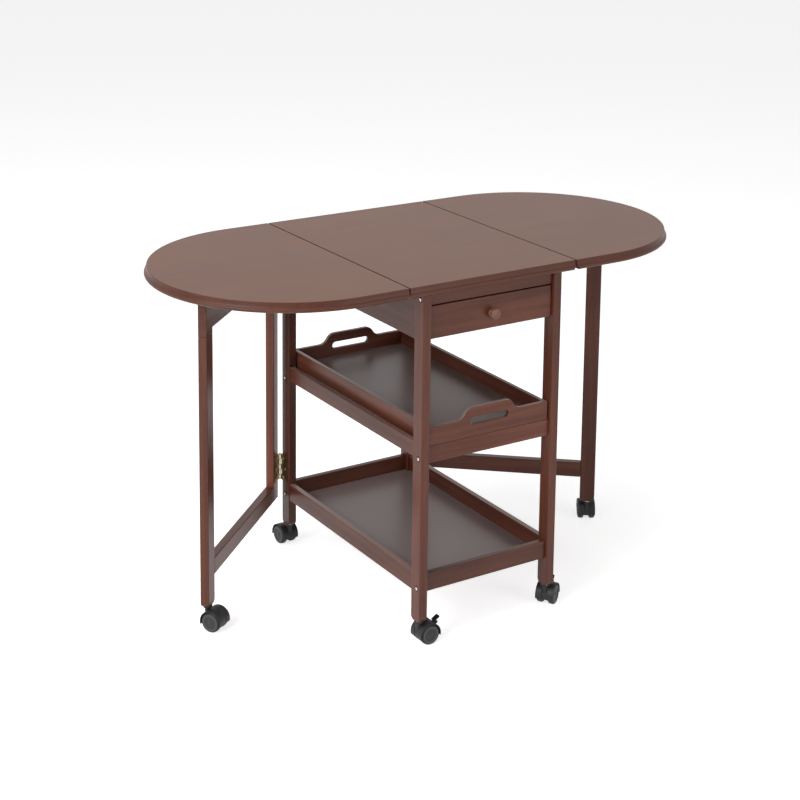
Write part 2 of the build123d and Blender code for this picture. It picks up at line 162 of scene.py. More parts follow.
class Nodes:
    """Node tree of a material or a world, emptied and filled again."""

    def __init__(self, owner: bpy.types.ID) -> None:
        """Empty the tree of a material or world.

        Args:
            owner: The material or world.
        """
        owner.use_nodes = True
        self.tree = owner.node_tree
        self.tree.nodes.clear()

    def node(
        self, kind: str, settings: dict[str, Any], inputs: dict[Any, Any], output: Any = 0
    ) -> Socket:
        """Add one node.

        Args:
            kind: Node type.
            settings: Properties of the node, set first. "stops" fills a colour ramp.
            inputs: Values or sockets by the input's name or number.
            output: Name or number of the output to return.

        Returns:
            The chosen output.
        """
        made = self.tree.nodes.new(kind)
        for key, value in settings.items():
            if key == "stops":
                self._fill_ramp(made.color_ramp, value)
            else:
                setattr(made, key, value)
        for key, value in inputs.items():
            self._feed(made.inputs[key], value)
        return Socket(self, made.outputs[output]) if made.outputs else Socket(self, None)

    def _fill_ramp(self, ramp: bpy.types.ColorRamp, stops: Sequence[tuple[float, Any]]) -> None:
        """Give a colour ramp its stops.

        Args:
            ramp: Ramp of a new node.
            stops: Positions, each with a grey level or a colour.
        """
        while len(ramp.elements) < len(stops):
            ramp.elements.new(1.0)
        for element, (position, value) in zip(ramp.elements, stops):
            element.position = position
            element.color = (value, value, value, 1.0) if isinstance(value, float) else (*value, 1.0)

    def _feed(self, target: bpy.types.NodeSocket, value: Any) -> None:
        """Link a socket into an input, or set the input's value.

        Args:
            target: Input to fill.
            value: Socket, number, colour or vector.
        """
        if isinstance(value, Socket):
            self.tree.links.new(value.output, target)
        elif target.type == "RGBA" and len(value) == 3:
            target.default_value = (*value, 1.0)
        else:
            target.default_value = value

    def background_rays(self) -> Socket:
        """Return 1 for rays from the camera, a mirror or clear glass, else 0."""
        camera, mirror, clear = (
            self.node("ShaderNodeLightPath", {}, {}, f"Is {kind} Ray")
            for kind in ("Camera", "Glossy", "Transmission")
        )
        return self.node("ShaderNodeClamp", {}, {"Value": camera + mirror + clear})


class Shader(Nodes):
    """Node tree of one material, with a Principled surface."""

    def __init__(self, name: str) -> None:
        """Start an empty material of this name."""
        self.material = bpy.data.materials.new(name)
        super().__init__(self.material)

    def grain(self) -> Socket:
        """Return the piece's own pattern coordinates: along, across and through it."""
        return self.node("ShaderNodeAttribute", {"attribute_name": "grain"}, {}, "Vector")

    def mask(self) -> Socket:
        """Return the piece's own mask, whose meaning each finish gives."""
        return self.node("ShaderNodeAttribute", {"attribute_name": "mask"}, {}, "Fac")

    def place(self) -> Socket:
        """Return the object coordinates."""
        return self.node("ShaderNodeTexCoord", {}, {}, "Object")

    def noise(self, vector: Socket, scale: float, detail: float = 2.0, rough: float = 0.5) -> Socket:
        """Return a noise pattern from 0 to 1."""
        inputs = {"Vector": vector, "Scale": scale, "Detail": detail, "Roughness": rough}
        return self.node("ShaderNodeTexNoise", {}, inputs, "Fac")

    def streaks(self, vector: Socket, scale: Triple, detail: float = 2.0, rough: float = 0.5) -> Socket:
        """Return a noise pattern with its own scale along each axis."""
        stretched = self.node("ShaderNodeVectorMath", {"operation": "MULTIPLY"}, {0: vector, 1: scale})
        return self.noise(stretched, 1.0, detail, rough)

    def ramp(self, value: Socket, stops: Sequence[tuple[float, Any]]) -> Socket:
        """Return a value or colour read off a ramp."""
        return self.node("ShaderNodeValToRGB", {"stops": stops}, {"Fac": value})

    def mix(self, factor: Any, first: Any, second: Any, blend: str = "MIX") -> Socket:
        """Return a blend of two colours."""
        settings = {"data_type": "RGBA", "blend_type": blend}
        return self.node("ShaderNodeMix", settings, {0: factor, 6: first, 7: second}, 2)

    def bump(self, height: Socket, strength: float, distance: float) -> Socket:
        """Return a normal bent by a height pattern."""
        inputs = {"Strength": strength, "Distance": distance, "Height": height}
        return self.node("ShaderNodeBump", {}, inputs)

    def finish(self, **inputs: Any) -> bpy.types.Material:
        """Close the tree with a Principled surface.

        Args:
            inputs: Values or sockets by input name, with underscores for spaces.

        Returns:
            The material.
        """
        named = {key.replace("_", " "): value for key, value in inputs.items()}
        surface = self.node("ShaderNodeBsdfPrincipled", {}, named)
        self.node("ShaderNodeOutputMaterial", {}, {"Surface": surface})
        return self.material


@dataclass(frozen=True)
class StainedWood:
    """Satin red-brown stain over a faint straight grain.

    The mask paints light and shade: up to 1 it makes a board lighter, below 0 darker; from 1 to 2 it
    fades into a painted highlight along a top edge.
    """

    name: str = "stained_wood"
    deep: Triple = (0.058, 0.014, 0.007)
    light: Triple = (0.152, 0.049, 0.028)
    roughness: float = 0.30
    sheen: float = 0.27
    spread: float = 0.8
    rim: Triple = (0.300, 0.225, 0.205)

    def build(self) -> bpy.types.Material:
        """Build long streaks, a slow drift of tone, fine pores, and the painted light, shade and
        highlight that the mask gives.

        Returns:
            The material.
        """
        shader = Shader(self.name)
        grain = shader.grain()
        streaks = shader.streaks(grain, (3.0, 70.0, 70.0), 5.0, 0.6)
        drift = shader.streaks(grain, (2.5, 9.0, 9.0), 2.0)
        pores = shader.streaks(grain, (45.0, 1100.0, 1100.0), 2.0, 0.5)
        tone = shader.ramp(streaks * 0.55 + drift * 0.45, [(0.35, self.deep), (0.66, self.light)])
        pore = shader.ramp(pores, [(0.33, 1.0), (0.42, 0.0)])
        pored = shader.mix(pore * 0.3, tone, self.deep)
        # Painted light and shade: the mask scales each board's tone, and above 1 fades into the painted
        # highlight colour.
        mask = shader.mask()
        lit_and_shaded = shader.mix(1.0, pored, mask * self.spread + 1.0, "MULTIPLY")
        colour = shader.mix(mask - 1.0, lit_and_shaded, self.rim)
        normal = shader.bump(streaks * 0.35 - pore * 0.5, 0.25, 0.00025)
        rough = self.roughness - 0.05 + drift * 0.10
        return shader.finish(
            Base_Color=colour, Roughness=rough, Normal=normal, Specular_IOR_Level=self.sheen
        )


@dataclass(frozen=True)
class TopBoard:
    """Smooth satin top face, with a darker moulded edge where the mask is 1: one stain in a lit copy
    for the face and a shaded copy for the edge, as painted light and shade.
    """

    name: str = "top_board"
    face_deep: Triple = (0.124, 0.047, 0.025)
    face_light: Triple = (0.168, 0.070, 0.038)
    edge_deep: Triple = (0.066, 0.018, 0.010)
    edge_light: Triple = (0.112, 0.036, 0.021)
    roughness: float = 0.40
    sheen: float = 0.245

    def build(self) -> bpy.types.Material:
        """Build faint wide streaks and mottle, in the lit colours on the face and the shaded colours on
        the edge.

        Returns:
            The material.
        """
        shader = Shader(self.name)
        grain = shader.grain()
        edge = shader.mask()
        wide = shader.streaks(grain, (1.2, 16.0, 16.0), 3.0, 0.55)
        fine = shader.streaks(grain, (6.0, 190.0, 190.0), 3.0, 0.6)
        mottle = shader.streaks(grain, (7.0, 7.0, 7.0), 2.0)
        blend = wide * 0.5 + fine * 0.28 + mottle * 0.22
        face = shader.ramp(blend, [(0.34, self.face_deep), (0.66, self.face_light)])
        side = shader.ramp(blend, [(0.34, self.edge_deep), (0.66, self.edge_light)])
        colour = shader.mix(edge, face, side)
        normal = shader.bump(fine, 0.12, 0.0002)
        rough = self.roughness - 0.04 + wide * 0.08
        return shader.finish(
            Base_Color=colour, Roughness=rough, Normal=normal, Specular_IOR_Level=self.sheen
        )


@dataclass(frozen=True)
class DarkPanel:
    """Smooth dark panel with a soft sheen; its colours are paler and greyer than the dark wood itself,
    a painted reflection that carries part of the sheen.
    """

    name: str = "dark_panel"
    deep: Triple = (0.185, 0.135, 0.128)
    light: Triple = (0.260, 0.200, 0.192)
    roughness: float = 0.32
    sheen: float = 0.34

    def build(self) -> bpy.types.Material:
        """Build a fine even streak and a hardly visible orange peel.

        Returns:
            The material.
        """
        shader = Shader(self.name)
        grain = shader.grain()
        streaks = shader.streaks(grain, (4.0, 90.0, 90.0), 4.0, 0.6)
        peel = shader.noise(grain, 420.0, 1.0)
        colour = shader.ramp(streaks, [(0.35, self.deep), (0.65, self.light)])
        normal = shader.bump(peel, 0.05, 0.0002)
        rough = self.roughness - 0.03 + streaks * 0.06
        return shader.finish(
            Base_Color=colour, Roughness=rough, Normal=normal, Specular_IOR_Level=self.sheen
        )


@dataclass(frozen=True)
class InnerBoard:
    """Plain board of the drawer's inside, lighter and duller than the frame."""

    name: str = "inner_board"
    deep: Triple = (0.200, 0.120, 0.078)
    light: Triple = (0.300, 0.195, 0.130)

    def build(self) -> bpy.types.Material:
        """Build straight grain and open pores.

        Returns:
            The material.
        """
        shader = Shader(self.name)
        grain = shader.grain()
        streaks = shader.streaks(grain, (3.5, 85.0, 85.0), 5.0, 0.65)
        pores = shader.streaks(grain, (60.0, 900.0, 900.0), 2.0)
        colour = shader.ramp(streaks, [(0.32, self.deep), (0.7, self.light)])
        normal = shader.bump(streaks * 0.5 + pores * 0.5, 0.3, 0.0003)
        return shader.finish(Base_Color=colour, Roughness=0.6 + pores * 0.1, Normal=normal)


@dataclass(frozen=True)
class BrightSteel:
    """Bright turned steel with fine wear."""

    name: str
    deep: Triple
    light: Triple
    roughness: float

    def build(self) -> bpy.types.Material:
        """Build a clouded tint with fine scratches in the bump.

        Returns:
            The material.
        """
        shader = Shader(self.name)
        place = shader.place()
        cloud = shader.noise(place, 90.0, 3.0)
        scratch = shader.streaks(place, (2600.0, 2600.0, 160.0), 2.0, 0.6)
        colour = shader.ramp(cloud, [(0.3, self.deep), (0.7, self.light)])
        rough = self.roughness - 0.05 + cloud * 0.12
        normal = shader.bump(scratch, 0.15, 0.0001)
        return shader.finish(Base_Color=colour, Roughness=rough, Normal=normal, Metallic=1.0)


@dataclass(frozen=True)
class AgedBrass:
    """Darkened brass, bright where the mask is 1: rubbed wear on the hinges, a painted highlight on the
    frame's screw heads.
    """

    name: str = "hinge_brass"
    deep: Triple = (0.095, 0.066, 0.032)
    light: Triple = (0.240, 0.175, 0.088)
    bright: Triple = (0.900, 0.800, 0.600)
    roughness: float = 0.34

    def build(self) -> bpy.types.Material:
        """Build clouded tarnish with upright scratches, and bright brass over it: rubbed wear on the
        hinges, a painted highlight on the frame's screws.

        Returns:
            The material.
        """
        shader = Shader(self.name)
        place = shader.place()
        rubbed = shader.mask()
        cloud = shader.noise(place, 160.0, 3.0)
        scratch = shader.streaks(place, (2600.0, 2600.0, 160.0), 2.0, 0.6)
        plate = shader.ramp(cloud, [(0.3, self.deep), (0.7, self.light)])
        colour = shader.mix(rubbed, plate, self.bright)
        rough = self.roughness - rubbed * 0.16 + cloud * 0.08
        normal = shader.bump(scratch, 0.15, 0.0001)
        return shader.finish(Base_Color=colour, Roughness=rough, Normal=normal, Metallic=1.0)


@dataclass(frozen=True)
class MouldedPlastic:
    """Moulded nylon with a fine spark-eroded texture, paler where the mask is 1."""

    name: str
    deep: Triple
    light: Triple
    roughness: float
    pale: Triple = (0.088, 0.084, 0.084)
    sheen: float = 0.24

    def build(self) -> bpy.types.Material:
        """Build fine grit, with dust in broad clouds.

        Returns:
            The material.
        """
        shader = Shader(self.name)
        place = shader.place()
        grit = shader.noise(place, 2200.0, 2.0, 0.6)
        dust = shader.noise(place, 60.0, 3.0)
        plain = shader.ramp(dust, [(0.35, self.deep), (0.75, self.light)])
        colour = shader.mix(shader.mask(), plain, self.pale)
        normal = shader.bump(grit, 0.25, 0.0001)
        rough = self.roughness - 0.06 + dust * 0.12
        return shader.finish(
            Base_Color=colour, Roughness=rough, Normal=normal, Specular_IOR_Level=self.sheen
        )


class Finish(Enum):
    """Finishes of the table, each with the record's slot that it belongs to."""

    FRAME = (StainedWood(), "frame_wood")
    KNOB = (StainedWood("knob_wood", (0.150, 0.058, 0.038), (0.240, 0.105, 0.072), 0.3), "frame_wood")
    TOP = (TopBoard(), "top_board")
    PANEL = (DarkPanel(), "panel")
    INNER = (InnerBoard(), "inner_wood")
    HINGE = (AgedBrass(), "brass_hinge")
    # Screw heads: near-black brass as painted shade, round a painted highlight.
    SCREW = (
        AgedBrass("screw_brass", (0.010, 0.005, 0.003), (0.030, 0.015, 0.010), (1.0, 0.88, 0.76), 0.3),
        "brass_screw",
    )
    STEEL = (BrightSteel("stem_steel", (0.70, 0.70, 0.71), (0.88, 0.88, 0.89), 0.22), "caster_plastic")
    HOOD = (
        MouldedPlastic("hood_nylon", (0.026, 0.025, 0.026), (0.046, 0.044, 0.045), 0.42),
        "caster_plastic",
    )
    WHEEL = (
        MouldedPlastic("wheel_nylon", (0.020, 0.020, 0.021), (0.034, 0.034, 0.035), 0.5),
        "caster_wheel",
    )
    LEVER = (
        MouldedPlastic("lever_nylon", (0.006, 0.006, 0.007), (0.012, 0.012, 0.013), 0.38),
        "caster_lever",
    )
    # Near-black discs at the screw centres: painted shade standing in for their recesses.
    HOLE = (
        MouldedPlastic("dark_recess", (0.004, 0.003, 0.003), (0.007, 0.005, 0.004), 0.8),
        "brass_screw",
    )


# Surfaces worked out as arrays


@dataclass
class Outline:
    """Closed outline: its points, and at each one the inward direction.

    Both are arrays of shape (n, 2), counter-clockwise.
    """

    points: Array
    inward: Array

    def densified(self, step: float) -> "Outline":
        """Return the outline with more points on its straight stretches.

        The points are read by linear interpolation at the arc lengths of the old points and of an
        even spacing.

        Args:
            step: Largest spacing in metres.

        Returns:
            The denser outline.
        """
        closed = np.vstack([self.points, self.points[:1]])
        inward = np.vstack([self.inward, self.inward[:1]])
        length = np.concatenate([[0.0], np.cumsum(np.linalg.norm(np.diff(closed, axis=0), axis=1))])
        even = np.arange(0.0, length[-1], step)
        at = np.unique(np.concatenate([length[:-1], even]))
        points = np.column_stack([np.interp(at, length, closed[:, k]) for k in (0, 1)])
        normals = np.column_stack([np.interp(at, length, inward[:, k]) for k in (0, 1)])
        return Outline(points, normals)


def rounded_polygon(corners: Sequence[Triple], steps: int = 6) -> Outline:
    """Polygon whose corners are arcs.

    At a corner the direction turns evenly from the incoming to the outgoing edge; the point is the
    arc's centre less its radius times the left normal, which is also the inward direction.

    Args:
        corners: x, y and radius of each corner, counter-clockwise.
        steps: Spans in each arc.

    Returns:
        The outline.
    """
    at = np.array([corner[:2] for corner in corners])
    radius = np.array([corner[2] for corner in corners])[:, None]
    before = at - np.roll(at, 1, axis=0)
    after = np.roll(at, -1, axis=0) - at
    heading = np.arctan2(before[:, 1], before[:, 0])[:, None]
    out = np.arctan2(after[:, 1], after[:, 0])[:, None]
    turn = (out - heading + np.pi) % tau - np.pi
    bend = np.sign(turn) * radius
    angle = heading + turn * np.linspace(0.0, 1.0, steps + 1)[None, :]
    back = radius * np.tan(np.abs(turn) / 2)
    start = at - back * np.column_stack([np.cos(heading), np.sin(heading)])
    left = np.stack([-np.sin(angle), np.cos(angle)], axis=-1)
    first = np.stack([-np.sin(heading), np.cos(heading)], axis=-1)
    points = start[:, None, :] + bend[:, :, None] * (first - left)
    return Outline(points.reshape(-1, 2), left.reshape(-1, 2))


def box_corners(
    x_span: tuple[float, float], y_span: tuple[float, float], lower: float, upper: float
) -> list[Triple]:
    """Corners of a rectangle, with one radius for the lower two and one for the upper."""
    (left, right), (low, high) = x_span, y_span
    return [(left, low, lower), (right, low, lower), (right, high, upper), (left, high, upper)]


def rounded_rectangle(
    x_span: tuple[float, float], y_span: tuple[float, float], radius: float
) -> Outline:
    """Rectangle with four equal round corners."""
    return rounded_polygon(box_corners(x_span, y_span, radius, radius))


@dataclass
class Surface:
    """Closed surface: points, quads, capping polygons, and what the shaders read at each point."""

    points: Array
    quads: Array
    caps: list[Array] = field(default_factory=list)
    mask: Array | None = None
    grain: Array | None = None

    def placed(self, origin: Sequence[float], axes: Sequence[Sequence[float]]) -> "Surface":
        """Return the surface in another frame; its old coordinates stay as its pattern's.

        Args:
            origin: Where the local origin goes.
            axes: Directions of the three local axes.

        Returns:
            The moved surface.
        """
        grain = self.points if self.grain is None else self.grain
        moved = np.asarray(origin) + self.points @ np.asarray(axes, float)
        return replace(self, points=moved, grain=grain)

    def mirrored(self) -> "Surface":
        """Return the mirror image across the plane between left and right."""
        return replace(self, points=self.points * (-1.0, 1.0, 1.0))

    def grained(self, order: tuple[int, int, int]) -> "Surface":
        """Return the surface with its pattern's axes reordered, along the grain first."""
        source = self.points if self.grain is None else self.grain
        return replace(self, grain=source[:, list(order)])

    def masked(self, level: Any) -> "Surface":
        """Return the surface with this mask, one value or a value for every point."""
        mask = np.broadcast_to(np.asarray(level, float), (len(self.points),))
        return replace(self, mask=mask)

    def rimmed(self, top: float, level: float) -> "Surface":
        """Return the surface with its mask raised to a painted highlight where it lies on or above a
        height.
        """
        return self.masked(np.where(self.points[:, 2] > top, level, 0.0))

    @staticmethod
    def joined(parts: Iterable["Surface"]) -> "Surface":
        """Join surfaces into one.

        Args:
            parts: Surfaces to join, in order. A part without a mask gets 0.

        Returns:
            The joined surface.
        """
        points, quads, caps, masks, grains, count = [], [], [], [], [], 0
        for part in parts:
            points.append(part.points)
            quads.append(part.quads + count)
            caps.extend(cap + count for cap in part.caps)
            masks.append(np.zeros(len(part.points)) if part.mask is None else part.mask)
            grains.append(part.points if part.grain is None else part.grain)
            count += len(part.points)
        return Surface(
            np.vstack(points), np.vstack(quads), caps, np.concatenate(masks), np.vstack(grains)
        )


def ring_quads(rings: int, count: int, looped: bool = False) -> Array:
    """Quads between neighbouring rings of a grid whose rows are closed.

    Args:
        rings: Rows of the grid.
        count: Points in a row.
        looped: Whether the last row joins the first.

    Returns:
        Point numbers, four to a quad.
    """
    row = np.arange(rings if looped else rings - 1)[:, None]
    column = np.arange(count)[None, :]
    after = (column + 1) % count
    above = (row + 1) % rings
    quads = [row * count + column, row * count + after, above * count + after, above * count + column]
    return np.stack(quads, -1).reshape(-1, 4)


def ringed(grid: Array, mask: Array | None = None) -> Surface:
    """Surface over a stack of closed rings, capped flat at both ends.

    Args:
        grid: Points, of shape (rings, points in a ring, 3).
        mask: Mask of every point.

    Returns:
        The surface.
    """
    rings, count = grid.shape[:2]
    first = np.arange(count)
    caps = [first[::-1], first + (rings - 1) * count]
    return Surface(grid.reshape(-1, 3), ring_quads(rings, count), caps, mask)


def profiled_plate(outline: Outline, profile: Array) -> Surface:
    """Plate whose edge has a profile all round, capped flat at both ends.

    Ring k is the outline moved inward by profile[k, 0], at height profile[k, 1].

    Args:
        outline: Widest outline.
        profile: Insets and heights from the lowest ring to the highest.

    Returns:
        The surface.
    """
    flat = outline.points[None] + profile[:, :1, None] * outline.inward[None]
    height = np.broadcast_to(profile[:, 1][:, None, None], (*flat.shape[:2], 1))
    return ringed(np.concatenate([flat, height], axis=-1))


def soft_profile(low: float, high: float, radius: float, steps: int = 4) -> Array:
    """Profile with a quarter-round at each end.

    Inset is radius times one less the sine, height is radius times one less the cosine.

    Args:
        low: Lowest height.
        high: Highest height.
        radius: Radius of the rounding.
        steps: Spans in each rounding.

    Returns:
        Insets and heights.
    """
    angle = np.linspace(0.0, np.pi / 2, steps + 1)
    inset = radius * (1 - np.sin(angle))
    lower = np.column_stack([inset, low + radius * (1 - np.cos(angle))])
    upper = np.column_stack([inset, high - radius * (1 - np.cos(angle))])[::-1]
    return np.vstack([lower, upper])


def soft_plate(outline: Outline, low: float, high: float, radius: float) -> Surface:
    """Plate of an outline between two heights, with rounded edges."""
    return profiled_plate(outline, soft_profile(low, high, radius))


def soft_block(low: Sequence[float], high: Sequence[float], radius: float, along: int) -> Surface:
    """Bar between two corners, rounded on every edge, with its grain along one axis.

    Args:
        low: Lowest corner.
        high: Highest corner.
        radius: Radius of the edges.
        along: Number of the axis that the bar runs along.

    Returns:
        The surface, with its pattern's first coordinate along the bar.
    """
    first, second = (along + 1) % 3, (along + 2) % 3
    outline = rounded_rectangle((low[first], high[first]), (low[second], high[second]), radius)
    bar = soft_plate(outline, low[along], high[along], radius)
    axes = np.zeros((3, 3))
    axes[0, first] = axes[1, second] = axes[2, along] = 1.0
    return bar.placed((0, 0, 0), axes).grained((2, 0, 1))


def turned(profile: Array, count: int = 48) -> Surface:
    """Surface of revolution about local Z.

    Ring k is a circle of radius profile[k, 0] at height profile[k, 1].

    Args:
        profile: Radii and heights from the lowest to the highest.
        count: Points round the axis.

    Returns:
        The surface, capped flat at both ends.
    """
    angle = np.arange(count) * tau / count
    radius, height = profile[:, 0][:, None], profile[:, 1][:, None]
    return ringed(np.stack([radius * np.cos(angle), radius * np.sin(angle), height + 0 * angle], -1))


def twin_bars(node: str, thick: float, radius: float, apart: int) -> Surface:
    """Two equal bars at the two ends of a CAD node's box.

    Args:
        node: CAD node.
        thick: Thickness of each bar.
        radius: Radius of the edges.
        apart: Number of the axis between them, 0 or 1. The grain runs along the other of these.

    Returns:
        The surface.
    """
    low, high = (np.array(corner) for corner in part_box(node))
    ends = np.array([low, high]), np.array([low, high])
    ends[0][1, apart] = low[apart] + thick
    ends[1][0, apart] = high[apart] - thick
    return Surface.joined(soft_block(start, end, radius, 1 - apart) for start, end in ends)


class Workshop:
    """Makes Blender pieces from surfaces and puts them on their CAD bodies."""

    pattern_step: float = 0.617
    pattern_range: float = 7.0
    rail_rim: float = 1.6

    def __init__(self, frame: dict[str, Any]) -> None:
        """Keep the loaded frame and build every finish once.
        """
        self.frame = frame
        self.materials = {finish: finish.value[0].build() for finish in Finish}
        bodies = frame["record"]["behaviour"]["bodies"]
        self.body_of = {node: body for body, nodes in bodies.items() for node in nodes}
        self.made = 0
        # Painted light and shade of single boards, as mask levels: lighter above 0 where more light
        # falls, darker below 0 in shade.
        self.tones = {
            "gate_left_upright": 1.0,
            "gate_right_stretcher": -0.12,
            "post_front_left": 0.22,
            "post_front_right": 0.1,
            "post_rear_left": -0.4,
            "drawer_front": 0.1,
            "front_top_rail": -0.1,
            "shelf_cross_rails": -0.15,
            "tray_cross_rails": 0.4,
            "tray_end_front": 0.28,
            "tray_sides": 0.5,
        }
        # The side rails get a painted highlight along their tops.
        rails = (f"{level}_side_rail_{side.word}" for level in ("tray", "shelf") for side in Side)
        self.rims = dict.fromkeys(rails, self.rail_rim)

    def joint(self, name: str) -> dict[str, Any]:
        """Return a joint of the record by name."""
        return next(joint for joint in self.frame["joints"] if joint["name"] == name)

    def piece(
        self,
        name: str,
        surface: Surface,
        finish: Finish,
        body: str,
        stands_for: Sequence[str] = (),
    ) -> bpy.types.Object:
        """Make one visible piece.

        Args:
            name: Name of the piece.
            surface: Its surface in the table's frame.
            finish: Its finish.
            body: CAD body that it rides on.
            stands_for: CAD nodes that it replaces.

        Returns:
            The object, at the origin.
        """
        # Each board's painted light and shade level is added to its mask.
        tone = self.tones.get(stands_for[0], 0.0) if stands_for else 0.0
        if tone:
            surface = surface.masked(tone if surface.mask is None else surface.mask + tone)
        mesh = bpy.data.meshes.new(name)
        faces = surface.quads.tolist() + [cap.tolist() for cap in surface.caps]
        mesh.from_pydata(surface.points.tolist(), [], faces)
        grain = surface.points if surface.grain is None else surface.grain
        shift = (self.made * self.pattern_step) % self.pattern_range
        pattern = mesh.attributes.new("grain", "FLOAT_VECTOR", "POINT")
        pattern.data.foreach_set("vector", (grain + shift).astype(np.float32).ravel())
        mask = mesh.attributes.new("mask", "FLOAT", "POINT")
        level = np.zeros(len(surface.points)) if surface.mask is None else surface.mask
        mask.data.foreach_set("value", level.astype(np.float32))
        self._clean(mesh)
        mesh.materials.append(self.materials[finish])
        made = bpy.data.objects.new(name, mesh)
        bpy.context.scene.collection.objects.link(made)
        weighted = made.modifiers.new("flat_faces_lead", "WEIGHTED_NORMAL")
        weighted.keep_sharp = True
        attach(made, body)
        if stands_for:
            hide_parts(*stands_for)
        self.made += 1
        LOG.info("%s: %d faces on %s", name, len(mesh.polygons), body)
        return made

    def instead(self, node: str, name: str, surface: Surface, finish: Finish) -> bpy.types.Object:
        """Make the piece that replaces one CAD node, on that node's body."""
        return self.piece(name, surface, finish, self.body_of[node], [node])

    def _clean(self, mesh: bpy.types.Mesh) -> None:
        """Merge doubled points, drop flat leftovers, and point every face outwards.

        Args:
            mesh: Mesh of a new piece.
        """
        work = bmesh.new()
        work.from_mesh(mesh)
        bmesh.ops.remove_doubles(work, verts=work.verts, dist=MERGE_DISTANCE)
        bmesh.ops.dissolve_degenerate(work, edges=work.edges, dist=FLAT_LENGTH)
        bmesh.ops.recalc_face_normals(work, faces=work.faces)
        work.to_mesh(mesh)
        work.free()
        mesh.shade_smooth()
        mesh.set_sharp_from_angle(angle=radians(SHARP_ANGLE))

    def bar(self, node: str, along: int, finish: Finish, radius: float = 1.5 * MM) -> bpy.types.Object:
        """Replace a straight CAD bar by a rounded one of the same box.

        Args:
            node: CAD node.
            along: Number of the axis that the grain runs along.
            finish: Finish of the bar.
            radius: Radius of its edges.

        Returns:
            The object.
        """
        low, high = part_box(node)
        surface = soft_block(low, high, radius, along)
        # Rails with a painted highlight get it along their tops.
        if node in self.rims:
            surface = surface.rimmed(high.z - HIGHLIGHT_SHARE * radius, self.rims[node])
        return self.instead(node, f"{node}_wood", surface, finish)

    def dress(self, node: str, finish: Finish) -> None:
        """Give a CAD node that stays its finish.

        Args:
            node: CAD node.
            finish: Its finish.
        """
        shown = self.frame["nodes"][node]
        shown.data.materials.clear()
        shown.data.materials.append(self.materials[finish])
        LOG.info("%s: dressed", node)


# The table's sub-assemblies


